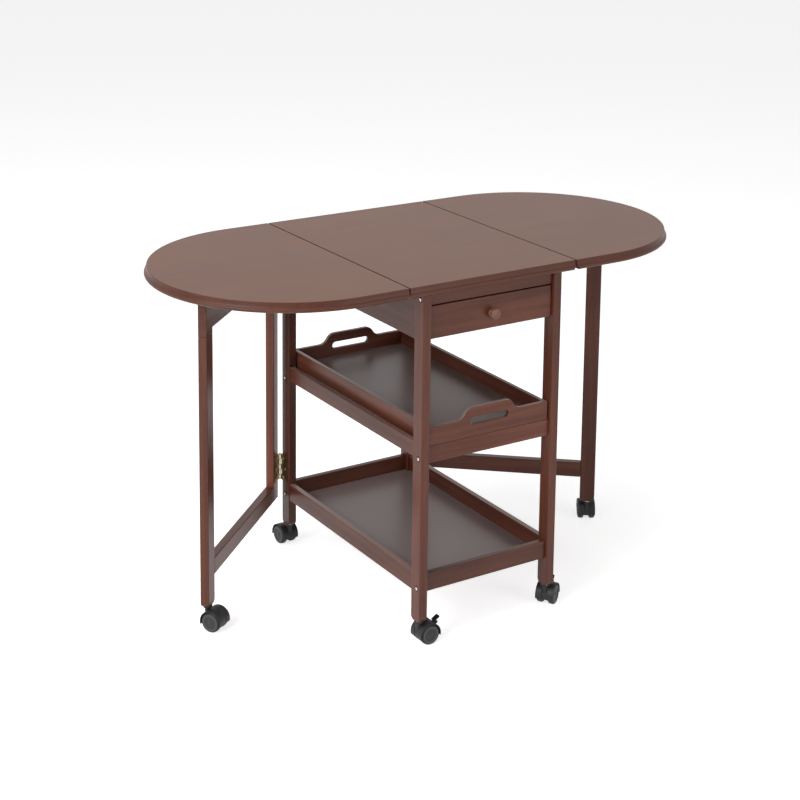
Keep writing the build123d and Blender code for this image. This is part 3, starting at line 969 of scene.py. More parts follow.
@dataclass
class Top:
    """Centre board and two leaves with one moulded edge."""

    shop: Workshop
    bead: tuple[tuple[float, float], ...] = (
        *((0.0, 2.60), (0.2, 2.30), (1.7, 0.80), (2.3, 0.35)),
        *((3.0, 0.08), (3.9, 0.00), (4.9, 0.05), (5.8, 0.35)),
    )
    cove: tuple[tuple[float, float], ...] = (
        (6.7, 1.05), (7.4, 2.00), (8.3, 2.90), (9.8, 3.60), (12.0, 4.10), (15.0, 4.42), (17.9, 4.60)
    )
    arris: tuple[tuple[float, float], ...] = ((18.3, 4.70), (18.65, 4.92), (18.9, 5.25), (19.0, 5.60))
    rebate_width: float = 4.2 * MM
    rebate_height: float = 4.4 * MM
    seam_arris: float = 0.6 * MM
    seam_slack: float = 0.01 * MM
    # Share of the shaded edge colour on the bead; the rest, lit face colour, is a painted highlight.
    bead_shade: float = 0.72
    spacing: float = 20.0 * MM

    def profile(self, low: float) -> Array:
        """Moulded edge from the underside to the top face.

        Heights and insets are read off the bead, the cove and the arris. At a seam the inset is that
        of the rebate up to its height, none above it, and a small easing over the arris.

        Args:
            low: Height of the underside.

        Returns:
            Inset at the free edge, height, inset at the seam and shade of every ring; the shade mixes
            the lit face colour at 0 with the shaded edge colour at 1, and is lower on the bead and the
            arris as a painted highlight.
        """
        height, inset = np.array(self.bead + self.cove + self.arris).T * MM
        eased = np.linspace(0.0, self.seam_arris, len(self.arris)) ** 2 / self.seam_arris
        seam = np.where(height < self.rebate_height, self.rebate_width, 0.0)
        seam[-len(eased) :] = eased
        shade = np.where(np.arange(len(height)) < len(self.bead), self.bead_shade, 1.0)
        # The arris fades to the lit face colour: a painted highlight line along the top's edge.
        shade[-len(eased) :] = np.linspace(0.5, 0.0, len(eased))
        rows = np.column_stack([inset, low + height, seam, shade])
        step = np.searchsorted(height, self.rebate_height)
        ceiling = [np.interp(self.rebate_height, height, inset), low + self.rebate_height]
        ledge = np.array([[*ceiling, self.rebate_width, 1.0], [*ceiling, 0.0, 1.0]])
        return np.insert(rows, [step, step], ledge, axis=0)

    def board(self, outline: Outline, seam: Array, low: float) -> Surface:
        """Board with its profile carried round the outline.

        Point (k, i) is outline[i] + inset[k] inward[i] + seam_inset[k] seam[i], at height[k].

        Args:
            outline: Widest outline and its inward directions.
            seam: Direction away from the seam at points on it, zero elsewhere.
            low: Height of the underside.

        Returns:
            The surface, with the painted shade and highlight of its edge.
        """
        profile = self.profile(low)
        flat = (
            outline.points[None]
            + profile[:, 0, None, None] * outline.inward[None]
            + profile[:, 2, None, None] * seam[None]
        )
        height = np.broadcast_to(profile[:, 1][:, None, None], (*flat.shape[:2], 1))
        shade = np.repeat(profile[:, 3], flat.shape[1])
        return ringed(np.concatenate([flat, height], axis=-1), shade)

    def leaf(self, side: Side, node: str) -> Surface:
        """Leaf: a seam, two straight sides and a half circle, mirrored for the left.

        Args:
            side: Side of the table.
            node: CAD node of the leaf.

        Returns:
            The surface.
        """
        low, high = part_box(node)
        half = high.y
        seam_x, reach = (low.x, high.x) if side is Side.RIGHT else (-high.x, -low.x)
        middle = reach - half
        ends = np.array([[seam_x, half], [seam_x, -half], [middle, -half]])
        turn = np.radians(np.linspace(-90, 90, 97))
        bow = np.column_stack([middle + half * np.cos(turn), half * np.sin(turn)])
        points = np.vstack([ends, bow[1:-1], [[middle, half]]])
        round_end = -np.column_stack([np.cos(turn), np.sin(turn)])[1:]
        inward = np.vstack([[[0, -1], [0, 1], [0, 1]], round_end])
        outline = Outline(points, inward).densified(self.spacing)
        on_seam = outline.points[:, 0] < seam_x + self.seam_slack
        outline.inward[on_seam] = np.column_stack(
            [np.zeros(on_seam.sum()), -outline.points[on_seam, 1] / half]
        )
        seam = np.column_stack([on_seam.astype(float), np.zeros(len(on_seam))])
        surface = self.board(outline, seam, low.z)
        return surface if side is Side.RIGHT else surface.mirrored()

    def centre(self, node: str) -> Surface:
        """Centre board: two seams and two moulded ends.

        Args:
            node: CAD node of the board.

        Returns:
            The surface.
        """
        low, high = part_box(node)
        corners = np.array([[low.x, low.y], [high.x, low.y], [high.x, high.y], [low.x, high.y]])
        outline = Outline(corners, np.zeros((4, 2))).densified(self.spacing)
        on_seam = np.abs(outline.points[:, 0]) > high.x - self.seam_slack
        slide = np.where(on_seam, -outline.points[:, 1] / high.y, -np.sign(outline.points[:, 1]))
        outline = Outline(outline.points, np.column_stack([np.zeros(len(slide)), slide]))
        seam = np.column_stack([-np.sign(outline.points[:, 0]) * on_seam, np.zeros(len(slide))])
        return self.board(outline, seam, low.z)

    def build(self) -> None:
        """Make the three boards."""
        shop = self.shop
        centre = "top_centre_board"
        shop.instead(centre, "top_centre", self.centre(centre), Finish.TOP)
        for side in Side:
            node = f"leaf_{side.word}_board"
            shop.instead(node, f"leaf_{side.word}", self.leaf(side, node), Finish.TOP)


@dataclass
class Cart:
    """Posts, aprons, rails, shelf panel, runners and frame screws."""

    shop: Workshop
    foot_radius: float = 9.0 * MM
    edge_radius: float = 1.6 * MM
    cross_rail_thickness: float = 12.0 * MM
    cross_rail_radius: float = 1.2 * MM
    runner_width: float = 14.0 * MM
    runner_radius: float = 0.6 * MM
    runner_heights: tuple[float, float] = (6.1 * MM, 35.6 * MM)
    screw_levels: tuple[float, ...] = (114.0 * MM, 370.0 * MM, 675.0 * MM)
    screw_set_back: float = 11.0 * MM
    glint_centre: tuple[float, float] = (1.2, 0.4)
    glint: tuple[float, float] = (2.5, 0.7)

    def post(self, node: str) -> Surface:
        """Post whose wide faces end in two round lower corners.

        Args:
            node: CAD node of the post.

        Returns:
            The surface, with its grain upright.
        """
        low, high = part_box(node)
        foot, soft = self.foot_radius, self.edge_radius
        outline = rounded_polygon(box_corners((low.y, high.y), (low.z, high.z), foot, soft), 10)
        plate = soft_plate(outline, low.x, high.x, soft)
        return plate.placed(ORIGIN, ((0, 1, 0), (0, 0, 1), (1, 0, 0))).grained((1, 0, 2))

    def pair(self, node: str) -> Surface:
        """Two equal rails across the front and the rear."""
        return twin_bars(node, self.cross_rail_thickness, self.cross_rail_radius, 1)

    def runners(self, node: str) -> Surface:
        """Four strips that carry the drawer and keep it from tipping.

        Args:
            node: CAD node of the strips.

        Returns:
            The surface.
        """
        low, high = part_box(node)
        lower, upper = self.runner_heights
        strips = []
        for near, far in ((low.x, low.x + self.runner_width), (high.x - self.runner_width, high.x)):
            for bottom, top in ((low.z, low.z + lower), (high.z - upper, high.z)):
                ends = (near, low.y, bottom), (far, high.y, top)
                strips.append(soft_block(*ends, self.runner_radius, 1))
        return Surface.joined(strips)

    def screws(self) -> tuple[Surface, Surface]:
        """Cup-headed screws on the posts' outer faces, with a painted highlight off centre, and discs
        painted as the shade of their recesses.

        The mask, a painted highlight, is a level less a fall for every millimetre from the glint's
        centre; where it is 0 the near-black brass paints shade, also on the wide collar.

        Returns:
            The cups and the painted recess shades.
        """
        # The wide collar is a painted shadow ring round each head.
        collar = [(5.7, -1), (5.7, 0.1), (4.8, 0.12)]
        cup = np.array([*collar, (4.6, 0.5), (4.2, 0.95), (3.4, 1.1), (2.2, 0.95), (0.9, 0.6)])
        shade_disc = np.array([(1.0, -0.3), (1.0, 0.75), (0.4, 0.7)])
        head = turned(cup * MM, 32)
        off = head.points[:, :2] / MM - self.glint_centre
        level, fall = self.glint
        head.mask = np.clip(level - fall * np.hypot(off[:, 0], off[:, 1]), 0.0, 1.0)
        cups, shade_discs = [], []
        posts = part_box("post_front_left")[0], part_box("post_rear_right")[1]
        for side, face in ((-1, posts[0].x), (1, posts[1].x)):
            axes = ((0, side, 0), (0, 0, 1), (side, 0, 0))
            for y in (posts[0].y + self.screw_set_back, posts[1].y - self.screw_set_back):
                for z in self.screw_levels:
                    cups.append(head.placed((face, y, z), axes))
                    shade_discs.append(turned(shade_disc * MM, 24).placed((face, y, z), axes))
        return Surface.joined(cups), Surface.joined(shade_discs)

    def build(self) -> None:
        """Make every piece of the cart's frame."""
        shop = self.shop
        for place in ("front_left", "front_right", "rear_left", "rear_right"):
            node = f"post_{place}"
            shop.instead(node, f"{node}_wood", self.post(node), Finish.FRAME)
        for side in Side:
            for name in ("side_apron", "tray_side_rail", "shelf_side_rail"):
                shop.bar(f"{name}_{side.word}", 1, Finish.FRAME)
        for node in ("rear_apron", "front_top_rail"):
            shop.bar(node, 0, Finish.FRAME)
        for node in ("tray_cross_rails", "shelf_cross_rails"):
            shop.instead(node, f"{node}_wood", self.pair(node), Finish.FRAME)
        node = "drawer_runners"
        shop.instead(node, "drawer_slides", self.runners(node), Finish.INNER)
        cups, shade_discs = self.screws()
        shop.instead("frame_screws", "screw_cups", cups, Finish.SCREW)
        shop.piece("screw_recesses", shade_discs, Finish.HOLE, "cart")
        shop.dress("shelf_panel", Finish.PANEL)


@dataclass
class Drawer:
    """Drawer front, box, bottom and turned knob."""

    shop: Workshop
    side_thickness: float = 9.0 * MM
    housed: float = 2.0 * MM
    back_gap: float = 0.2 * MM
    edge_radius: float = 0.8 * MM

    def box(self, node: str) -> Surface:
        """Two sides and the back between them, its ends let into them.

        Args:
            node: CAD node of the walls.

        Returns:
            The surface.
        """
        low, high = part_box(node)
        thick, reach = self.side_thickness, self.side_thickness - self.housed
        start = (low.x + reach, high.y - thick, low.z + self.back_gap)
        end = (high.x - reach, high.y - self.back_gap, high.z - self.back_gap)
        back = soft_block(start, end, self.edge_radius, 0)
        return Surface.joined([twin_bars(node, thick, self.edge_radius, 0), back])

    def knob(self, node: str) -> Surface:
        """Turned knob: a base ring, a waist, and a domed head with a round edge.

        Args:
            node: CAD node of the knob.

        Returns:
            The surface.
        """
        low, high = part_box(node)
        base = [(7.4, -0.4), (8.0, 0.2), (8.2, 0.9), (8.0, 1.6), (7.2, 2.1), (6.5, 2.7)]
        waist = [(6.1, 3.8), (5.9, 5.4), (6.1, 7.2), (6.9, 8.8), (8.3, 10.0), (9.8, 10.8)]
        head = [(10.5, 11.5), (10.8, 12.6), (10.7, 13.8), (10.2, 14.9), (9.2, 15.8)]
        dome = [(7.6, 16.5), (5.0, 17.1), (2.6, 17.4), (0.7, 17.5)]
        profile = turned(np.array([*base, *waist, *head, *dome]) * MM, 56)
        middle = ((low.x + high.x) / 2, high.y, (low.z + high.z) / 2)
        return profile.placed(middle, ((1, 0, 0), (0, 0, 1), (0, -1, 0)))

    def build(self) -> None:
        """Make the drawer."""
        shop = self.shop
        shop.bar("drawer_front", 0, Finish.FRAME, 1.4 * MM)
        shop.instead("drawer_box", "drawer_walls", self.box("drawer_box"), Finish.INNER)
        shop.instead("drawer_knob", "drawer_turned_knob", self.knob("drawer_knob"), Finish.KNOB)
        shop.dress("drawer_bottom", Finish.INNER)


@dataclass
class Tray:
    """Two shaped ends with hand slots, two sides and a panel."""

    shop: Workshop
    wall_thickness: float = 9.0 * MM
    wall_top: float = 428.5 * MM
    hump_flat: float = 38.0 * MM
    hump_foot: float = 74.0 * MM
    slot_half_length: float = 44.0 * MM
    slot_radius: float = 7.0 * MM
    slot_level: float = 422.5 * MM
    edge_radius: float = 1.6 * MM
    corner_radius: float = 1.8 * MM
    rim_tone: float = 2.0
    rim_row: float = 4.5
    rim_rows: float = 2.0

    def end_outline(self, node: str) -> Outline:
        """Outline of an end: a hump between two S-curves of equal arcs.

        With a rise h over a run w, each arc has the radius (w^2 + h^2) / 4h.

        Args:
            node: CAD node of the end.

        Returns:
            The outline of distance across and height.
        """
        low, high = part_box(node)
        rise, run = high.z - self.wall_top, self.hump_foot - self.hump_flat
        radius = (run**2 + rise**2) / (4 * rise)
        back = radius * tan(np.arctan2(rise, run))
        soft = self.corner_radius
        bend, foot = self.hump_flat + back, self.hump_foot - back
        right = [
            (high.x, low.z, soft),
            (high.x, self.wall_top, soft),
            (foot, self.wall_top, radius),
            (bend, high.z, radius),
        ]
        left = [(-x, z, r) for x, z, r in reversed(right)]
        return rounded_polygon(right + left, 10).densified(2.0 * MM)

    def slot_at(self, angle: Array) -> tuple[Array, Array]:
        """Point of the hand slot, and the direction into the wood, on rays from its middle.

        A ray at angle t meets the straight edges at r / |sin t|, else the end arcs at
        a |cos t| + sqrt(r^2 - a^2 sin^2 t).

        Args:
            angle: Angles of the rays.

        Returns:
            Points and directions.
        """
        radius, half = self.slot_radius, self.slot_half_length - self.slot_radius
        c, s = np.cos(angle), np.sin(angle)
        flat = np.abs(c) * radius <= half * np.abs(s)
        straight = radius / np.maximum(np.abs(s), 1e-9)
        bowed = half * np.abs(c) + np.sqrt(np.maximum(radius**2 - (half * s) ** 2, 0))
        points = np.where(flat, straight, bowed)[:, None] * np.column_stack([c, s])
        core = np.column_stack([np.where(flat, points[:, 0], np.sign(c) * half), np.zeros(len(c))])
        return points, (points - core) / radius

    def end(self, node: str) -> Surface:
        """End panel: a closed section from the outer edge, round the slot, and back.

        Args:
            node: CAD node of the end.

        Returns:
            The surface, whose rows run round the slot.
        """
        low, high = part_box(node)
        outline = self.end_outline(node)
        centre = np.array([0.0, self.slot_level])
        offset = outline.points - centre
        slot, into = self.slot_at(np.arctan2(offset[:, 1], offset[:, 0]))
        near, far, soft = low.y, high.y, self.edge_radius
        angle = np.linspace(0, np.pi / 2, 5)
        fall, rise = soft * (1 - np.sin(angle)), soft * (1 - np.cos(angle))
        inset = np.concatenate([fall, fall[::-1]])[:, None, None]
        outer = outline.points[None] + inset * outline.inward[None]
        inner = (centre + slot)[None] + inset * into[None]
        flat = np.concatenate([outer, inner])
        depth = np.concatenate([far - rise, near + rise[::-1], near + rise, far - rise[::-1]])
        across = np.broadcast_to(depth[:, None], flat.shape[:2])
        points = np.stack([flat[..., 0], across, flat[..., 1]], -1)
        surface = Surface(points.reshape(-1, 3), ring_quads(len(depth), len(offset), True))
        # Rows on the flat top of the outer edge get a painted highlight.
        upper = (outline.points[:, 1] > self.wall_top - self.edge_radius)[None, :]
        edge = (np.abs(np.arange(len(depth)) - self.rim_row) < self.rim_rows)[:, None]
        return surface.masked(self.rim_tone * (upper & edge).ravel())

    def sides(self, node: str) -> Surface:
        """Two long walls, with a painted highlight along their tops."""
        walls = twin_bars(node, self.wall_thickness, self.edge_radius, 0)
        return walls.rimmed(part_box(node)[1].z - HIGHLIGHT_SHARE * self.edge_radius, self.rim_tone)

    def build(self) -> None:
        """Make the tray."""
        shop = self.shop
        for word in ("front", "rear"):
            node = f"tray_end_{word}"
            shop.instead(node, f"{node}_wood", self.end(node), Finish.FRAME)
        shop.instead("tray_sides", "tray_walls", self.sides("tray_sides"), Finish.FRAME)
        shop.dress("tray_bottom", Finish.PANEL)


@dataclass
class Hinge:
    """Butt hinge along its local Z, its plates towards local X."""

    length: float
    radius: float
    plate: float
    sections: int = 5
    thickness: float = 1.5 * MM
    gap: float = 0.3 * MM
    clearance: float = 0.5 * MM
    pin_radius: float = 1.4 * MM

    def knuckle(self, index: int) -> Surface:
        """One knuckle section, with its ends eased.

        Args:
            index: Number of the section from the bottom.

        Returns:
            The surface, masked as rubbed bright.
        """
        pitch = self.length / self.sections
        ease, slit = 0.35 * MM, self.gap + 0.3 * MM
        start = -self.length / 2 + index * pitch + slit / 2
        end = start + pitch - slit
        rows = [(self.radius - ease, start), (self.radius, start + ease)]
        rows += [(self.radius, end - ease), (self.radius - ease, end)]
        return turned(np.array(rows), 28).masked(1.0)

    def half(self, own: Half, level: float, outward: int) -> Surface:
        """One half: its plate, knuckle sections, screws, and the pin with the outer sections.

        Args:
            own: Which half.
            level: Lowest local Y of its plate.
            outward: 1 if its screws show on the plate's +Y face, else -1.

        Returns:
            The surface.
        """
        pitch = self.length / self.sections
        edge = self.radius + self.clearance
        end, soft = self.length / 2, 2.0 * MM
        corners: list[Triple] = [(self.plate, -end, soft), (self.plate, end, soft)]
        for index in reversed(range(self.sections)):
            x, room = (self.radius * 0.5, 0.0) if index % 2 == own.value else (edge, self.gap)
            top = min(-end + (index + 1) * pitch + room, end)
            bottom = max(-end + index * pitch - room, -end)
            corners += [(x, top, 0.1 * MM), (x, bottom, 0.1 * MM)]
        plate = soft_plate(rounded_polygon(corners, 3), level, level + self.thickness, 0.1 * MM)
        parts = [plate.placed(ORIGIN, STANDING)]
        parts += [self.knuckle(index) for index in range(own.value, self.sections, 2)]
        face = level + self.thickness if outward > 0 else level
        head = [(2.6, -0.2), (2.6, 0.12), (2.3, 0.4), (1.3, 0.5), (1.1, 0.2), (0.5, 0.15)]
        for x, z in ((0.42, -0.36), (0.76, 0.0), (0.42, 0.36)):
            place = (edge + x * (self.plate - edge), face, z * self.length)
            screw = turned(np.array(head) * MM, 20).masked(0.6)
            parts.append(screw.placed(place, ((1, 0, 0), (0, 0, 1), (0, outward, 0))))
        if own is Half.FIXED:
            reach, head = self.length / 2, self.pin_radius + 0.5 * MM
            rows = [(head - 0.3 * MM, -reach - 0.6 * MM), (head, -reach - 0.2 * MM), (head, -reach)]
            rows += [(self.pin_radius, -reach), (self.pin_radius, reach), (head, reach)]
            rows += [(head, reach + 0.2 * MM), (head - 0.3 * MM, reach + 0.6 * MM)]
            parts.append(turned(np.array(rows), 20))
        return Surface.joined(parts)


@dataclass
class LeafHinges:
    """Two butt hinges under each seam."""

    shop: Workshop
    hinge: Hinge = field(default_factory=lambda: Hinge(50 * MM, 3.0 * MM, 26 * MM))
    offset: float = 200.0 * MM
    proud: float = 0.8 * MM

    def halves(self, side: Side, own: Half) -> Surface:
        """Fixed or moving halves of one seam's hinges.

        Args:
            side: Side of the table.
            own: Which halves.

        Returns:
            The surface in the table's frame.
        """
        axis = self.shop.joint(f"leaf_{side.word}_lift")["pos_m"]
        away = side.value if own is Half.MOVING else -side.value
        half = self.hinge.half(own, -self.proud, -1)
        axes = ((away, 0, 0), (0, 0, 1), (0, -away, 0))
        return Surface.joined(
            half.placed((axis[0], y, axis[2]), axes) for y in (-self.offset, self.offset)
        )

    def build(self) -> None:
        """Make the leaf hinges."""
        shop = self.shop
        fixed = Surface.joined(self.halves(side, Half.FIXED) for side in Side)
        shop.instead("top_hinge_fixed_halves", "seam_hinges_fixed", fixed, Finish.HINGE)
        for side in Side:
            node = f"leaf_{side.word}_hinge_halves"
            shop.instead(node, f"{node}_brass", self.halves(side, Half.MOVING), Finish.HINGE)


@dataclass
class Gate:
    """Swing-out frame on one side: upright, leg, top rail, stretcher and hinges."""

    shop: Workshop
    side: Side
    reach: float = 413.0 * MM
    face: float = 3.5 * MM
    thickness: float = 17.5 * MM
    near_edge: float = 2.0 * MM
    upright_width: float = 28.5 * MM
    leg_width: float = 32.0 * MM
    rail_bottom: float = 595.0 * MM
    joint_level: float = 583.0 * MM
    rail_top: float = 682.0 * MM
    foot_radius: float = 8.0 * MM
    edge_radius: float = 1.6 * MM
    corner_radius: float = 1.8 * MM
    hinge: Hinge = field(default_factory=lambda: Hinge(57 * MM, 3.5 * MM, 24 * MM))
    hinge_levels: tuple[float, float] = (171.0 * MM, 583.0 * MM)

    def placed(self, surface: Surface, closed: bool = False) -> Surface:
        """Surface moved from the gate's frame to the table's.

        Local X runs along the gate, local Y away from the cart. At angle a from closed they are
        (sin a, -cos a) and (cos a, sin a) for the right gate; the left is its mirror image.

        Args:
            surface: Surface in the gate's frame.
            closed: Whether it stays on the post as with the gate closed.

        Returns:
            The moved surface.
        """
        swing = self.shop.joint(f"gate_{self.side.word}_swing")
        angle = 0.0 if closed else radians(-swing["range_deg"][0])
        origin = (abs(swing["pos_m"][0]), swing["pos_m"][1], 0.0)
        axes = ((sin(angle), -cos(angle), 0), (cos(angle), sin(angle), 0), (0, 0, 1))
        moved = surface.placed(origin, axes)
        return moved if self.side is Side.RIGHT else moved.mirrored()

    def member(self, corners: Sequence[Triple], upright: bool) -> Surface:
        """Member cut from an outline of distance along the gate and height.

        Args:
            corners: Distance, height and radius of each corner.
            upright: Whether the grain runs upwards.

        Returns:
            The surface in the table's frame.
        """
        outline = rounded_polygon(corners, 8)
        plate = soft_plate(outline, self.face, self.face + self.thickness, self.edge_radius)
        plate = plate.placed(ORIGIN, STANDING)
        return self.placed(plate.grained((1, 0, 2)) if upright else plate)

    def build(self) -> None:
        """Make the gate and its halves of the hinges."""
        shop, body = self.shop, f"gate_{self.side.word}"
        soft, sharp = self.corner_radius, 0.4 * MM
        near, upright = self.near_edge, self.near_edge + self.upright_width
        leg, end = self.reach - self.leg_width, self.reach
        low, stretcher_top = (corner.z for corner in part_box(f"{body}_stretcher"))
        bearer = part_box(f"{body}_top_rail")[1].z
        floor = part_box(f"{body}_leg")[0].z
        rail, joint, top = self.rail_bottom, self.joint_level, self.rail_top
        rail_end = [(leg, rail, sharp), (leg, joint, soft), (end, joint, soft), (end, bearer, soft)]
        rail_end += [(leg, bearer, soft), (leg, top, sharp)]
        members = {
            "upright": box_corners((near, upright), (low, top), soft, soft),
            "leg": box_corners((leg, end), (floor, joint), self.foot_radius, soft),
            "top_rail": [(upright, rail, soft), *rail_end, (upright, top, soft)],
            "stretcher": box_corners((upright, leg), (low, stretcher_top), soft, soft),
        }
        for name, corners in members.items():
            node = f"{body}_{name}"
            surface = self.member(corners, name in ("upright", "leg"))
            shop.instead(node, f"{node}_wood", surface, Finish.FRAME)
        level = self.face - self.hinge.thickness
        moving = self.halves(Half.MOVING, level, -1)
        node = f"{body}_hinge_halves"
        shop.instead(node, f"{node}_brass", self.placed(moving), Finish.HINGE)

    def halves(self, own: Half, level: float, outward: int) -> Surface:
        """Fixed or moving halves of both hinges, in the gate's frame."""
        half = self.hinge.half(own, level, outward)
        return Surface.joined(half.placed((0, 0, z), np.eye(3)) for z in self.hinge_levels)

    def fixed_halves(self) -> Surface:
        """Halves of the hinges on the rear post."""
        return self.placed(self.halves(Half.FIXED, -self.face, 1), True)


@dataclass
class Caster:
    """Twin-wheel caster, drawn with its wheels behind the stem along local X."""

    shop: Workshop
    place: CasterPlace
    wheel_radius: float = 20.0 * MM
    wheel_inner: float = 6.0 * MM
    wheel_outer: float = 18.5 * MM
    hood_inner: float = 20.9 * MM
    hood_outer: float = 22.7 * MM
    hood_half_width: float = 18.5 * MM
    hood_width: float = 13.0 * MM
    hood_angles: tuple[float, float] = (-12.0, 196.0)
    web_half_width: float = 5.5 * MM
    disc_span: tuple[float, float] = (3.2 * MM, 15.0 * MM)
    rib_span: tuple[float, float] = (7.5 * MM, 22.0 * MM)
    web_edge: float = 0.8 * MM
    hood_edge: float = 0.9 * MM
    lever_angle: float = 38.0
    lever_pivot_radius: float = 26.4 * MM
    lever_half_width: float = 3.6 * MM
    lug_thickness: float = 1.6 * MM
    lug_span: tuple[float, float] = (1.35 * MM, 2.7 * MM)
    lug_gap: float = 0.4 * MM
    lug_edge: float = 0.4 * MM
    pad_half_width: float = 5.5 * MM
    pad_span: tuple[float, float] = (-3.4 * MM, 11.2 * MM)
    pad_level: float = 4.5 * MM
    pad_thickness: float = 2.4 * MM
    rib_places: Triple = (0.45, 0.6, 0.75)
    lever_rise: float = 32.0

    def __post_init__(self) -> None:
        """Read the stem's place and the wheels' direction off the joints."""
        stem = np.array(self.shop.joint(f"{self.place.value}_swivel")["pos_m"])
        hub = np.array(self.shop.joint(f"{self.place.value}_roll")["pos_m"])
        behind = (hub - stem)[:2]
        self.trail = float(np.hypot(*behind))
        self.origin = (stem[0], stem[1], 0.0)
        x, y = behind / self.trail
        self.axes = ((x, y, 0.0), (-y, x, 0.0), (0.0, 0.0, 1.0))
        self.post_bottom = float(stem[2])

    def swept(self, section: Outline, start: float, end: float, steps: int) -> Surface:
        """Section of radius and width swept about the axle.

        Point (k, i) is at radius r[i] and angle t[k]: (trail + r cos t, y, hub height + r sin t).

        Args:
            section: Outline of radius and local Y.
            start: First angle in degrees from the trailing side.
            end: Last angle; a full turn closes on itself.
            steps: Spans between the angles.

        Returns:
            The surface.
        """
        whole = end - start >= 360.0
        angle = np.radians(np.linspace(start, end, steps + 1))[: steps if whole else None, None]
        radius, y = section.points[:, 0], section.points[:, 1]
        x = self.trail + radius * np.cos(angle)
        z = self.wheel_radius + radius * np.sin(angle)
        grid = np.stack([x, y + 0 * angle, z], -1)
        if whole:
            return Surface(grid.reshape(-1, 3), ring_quads(*grid.shape[:2], True))
        return ringed(grid)

    def about_axle(self, profile: Array, side: int, count: int = 64) -> Surface:
        """Turned surface about the axle.

        Args:
            profile: Rows of radius and distance outwards, both in millimetres, and mask.
            side: Direction of outwards along local Y, 1 or -1.
            count: Points round the axle.

        Returns:
            The surface.
        """
        origin = (self.trail, 0.0, self.wheel_radius)
        made = turned(profile[:, :2] * MM, count)
        made.mask = np.repeat(profile[:, 2], count)
        return made.placed(origin, ((1, 0, 0), (0, 0, 1), (0, side, 0)))

    def housing(self, braked: bool) -> Surface:
        """Web between the wheels, a hood over each of them, and a hub with its cap.

        Args:
            braked: Whether it also has the lugs of a brake lever.

        Returns:
            The surface.
        """
        start, end = self.hood_angles
        width = (-self.web_half_width, self.web_half_width)
        disc = rounded_rectangle(self.disc_span, width, self.web_edge)
        rib = rounded_rectangle(self.rib_span, width, self.web_edge)
        parts = [self.swept(disc, 0, 360, 48), self.swept(rib, start, end, 30)]
        low, high = self.hood_half_width - self.hood_width, self.hood_half_width
        for near, far in ((low, high), (-high, -low)):
            shell = rounded_rectangle((self.hood_inner, self.hood_outer), (near, far), self.hood_edge)
            parts.append(self.swept(shell, start, end, 36))
        hub = [(5.7, 26), (5.7, 40.5), (6.6, 42), (8.6, 42.6), (9, 43.2), (9, 44.6), (8.5, 45.2)]
        parts.append(turned(np.array(hub) * MM, 40))
        if braked:
            parts += self.lugs()
        return Surface.joined(parts)

    def pivot(self) -> tuple[float, float]:
        """Find the brake lever's axis.

        Returns:
            Its local X and Z.
        """
        angle = radians(self.lever_angle)
        reach = self.lever_pivot_radius
        return self.trail + reach * cos(angle), self.wheel_radius + reach * sin(angle)

    def lugs(self) -> list[Surface]:
        """Two bored lugs, each on a short neck, and a saddle between them.

        Returns:
            The surfaces.
        """
        x, z = self.pivot()
        width, angle = self.lever_half_width, self.lever_angle
        span = (self.hood_inner, self.lever_pivot_radius - 2.5 * MM)
        saddle = rounded_rectangle(span, (-width, width), self.lug_edge)
        parts = [self.swept(saddle, angle - 6, angle + 6, 4)]
        for side in (-1, 1):
            reach = width + self.lug_gap
            near, far = sorted((side * reach, side * (reach + self.lug_thickness)))
            ring = rounded_rectangle(self.lug_span, (near, far), self.lug_edge)
            lug = self.swept(ring, 0, 360, 24)
            lug.points += (x - self.trail, 0.0, z - self.wheel_radius)
            neck_span = (self.hood_inner, self.lever_pivot_radius - 1.5 * MM)
            neck = rounded_rectangle(neck_span, (near, far), self.lug_edge)
            parts += [lug, self.swept(neck, angle - 5, angle + 5, 4)]
        return parts

    def stem(self) -> Surface:
        """Steel stem with its collar.

        Returns:
            The surface.
        """
        top = self.post_bottom / MM
        collar = [(4, 45.1), (6.8, 45.2), (7, 45.4), (7, top - 0.6), (6.8, top - 0.35)]
        return turned(np.array([*collar, (4, top - 0.3), (4, top - 0.05)]) * MM, 36)

    def wheels(self) -> Surface:
        """Two wheels with round shoulders, sunk hubs and domed axle ends, and their axle.

        Returns:
            The surface, with the mask of its rims, hubs and treads.
        """
        radius, near, far = self.wheel_radius / MM, self.wheel_inner / MM, self.wheel_outer / MM
        tread = [(3.0, near, 0.3), (radius - 3.0, near, 0.3), (radius - 1.2, near + 0.6, 0.3)]
        tread += [(radius - 0.3, near + 1.7, 0.3), (radius, near + 3.4, 0.3), (radius, far - 4.6, 0.3)]
        tread += [(radius - 0.3, far - 3.0, 0.1), (radius - 1.1, far - 1.5, 0.0)]
        tread += [(radius - 2.4, far - 0.5, 0.0), (radius - 3.6, far - 0.1, 0.5)]
        tread += [(radius - 4.2, far, 1.0), (13.4, far, 1.0)]
        hub = [(12.8, far - 0.3, 0.7), (12.2, far - 1.3, 0.4), (11.5, far - 1.5, 0.4)]
        hub += [(5.0, far - 1.5, 0.4), (4.6, far - 1.2, 0.4), (4.2, far - 0.5, 0.4)]
        hub += [(3.2, far - 0.15, 0.4), (1.2, far, 0.4)]
        pair = [self.about_axle(np.array(tread + hub), side) for side in (-1, 1)]
        axle = np.array([(3.0, -near, 0.0), (3.0, near, 0.0)])
        return Surface.joined([*pair, self.about_axle(axle, 1, 24)])

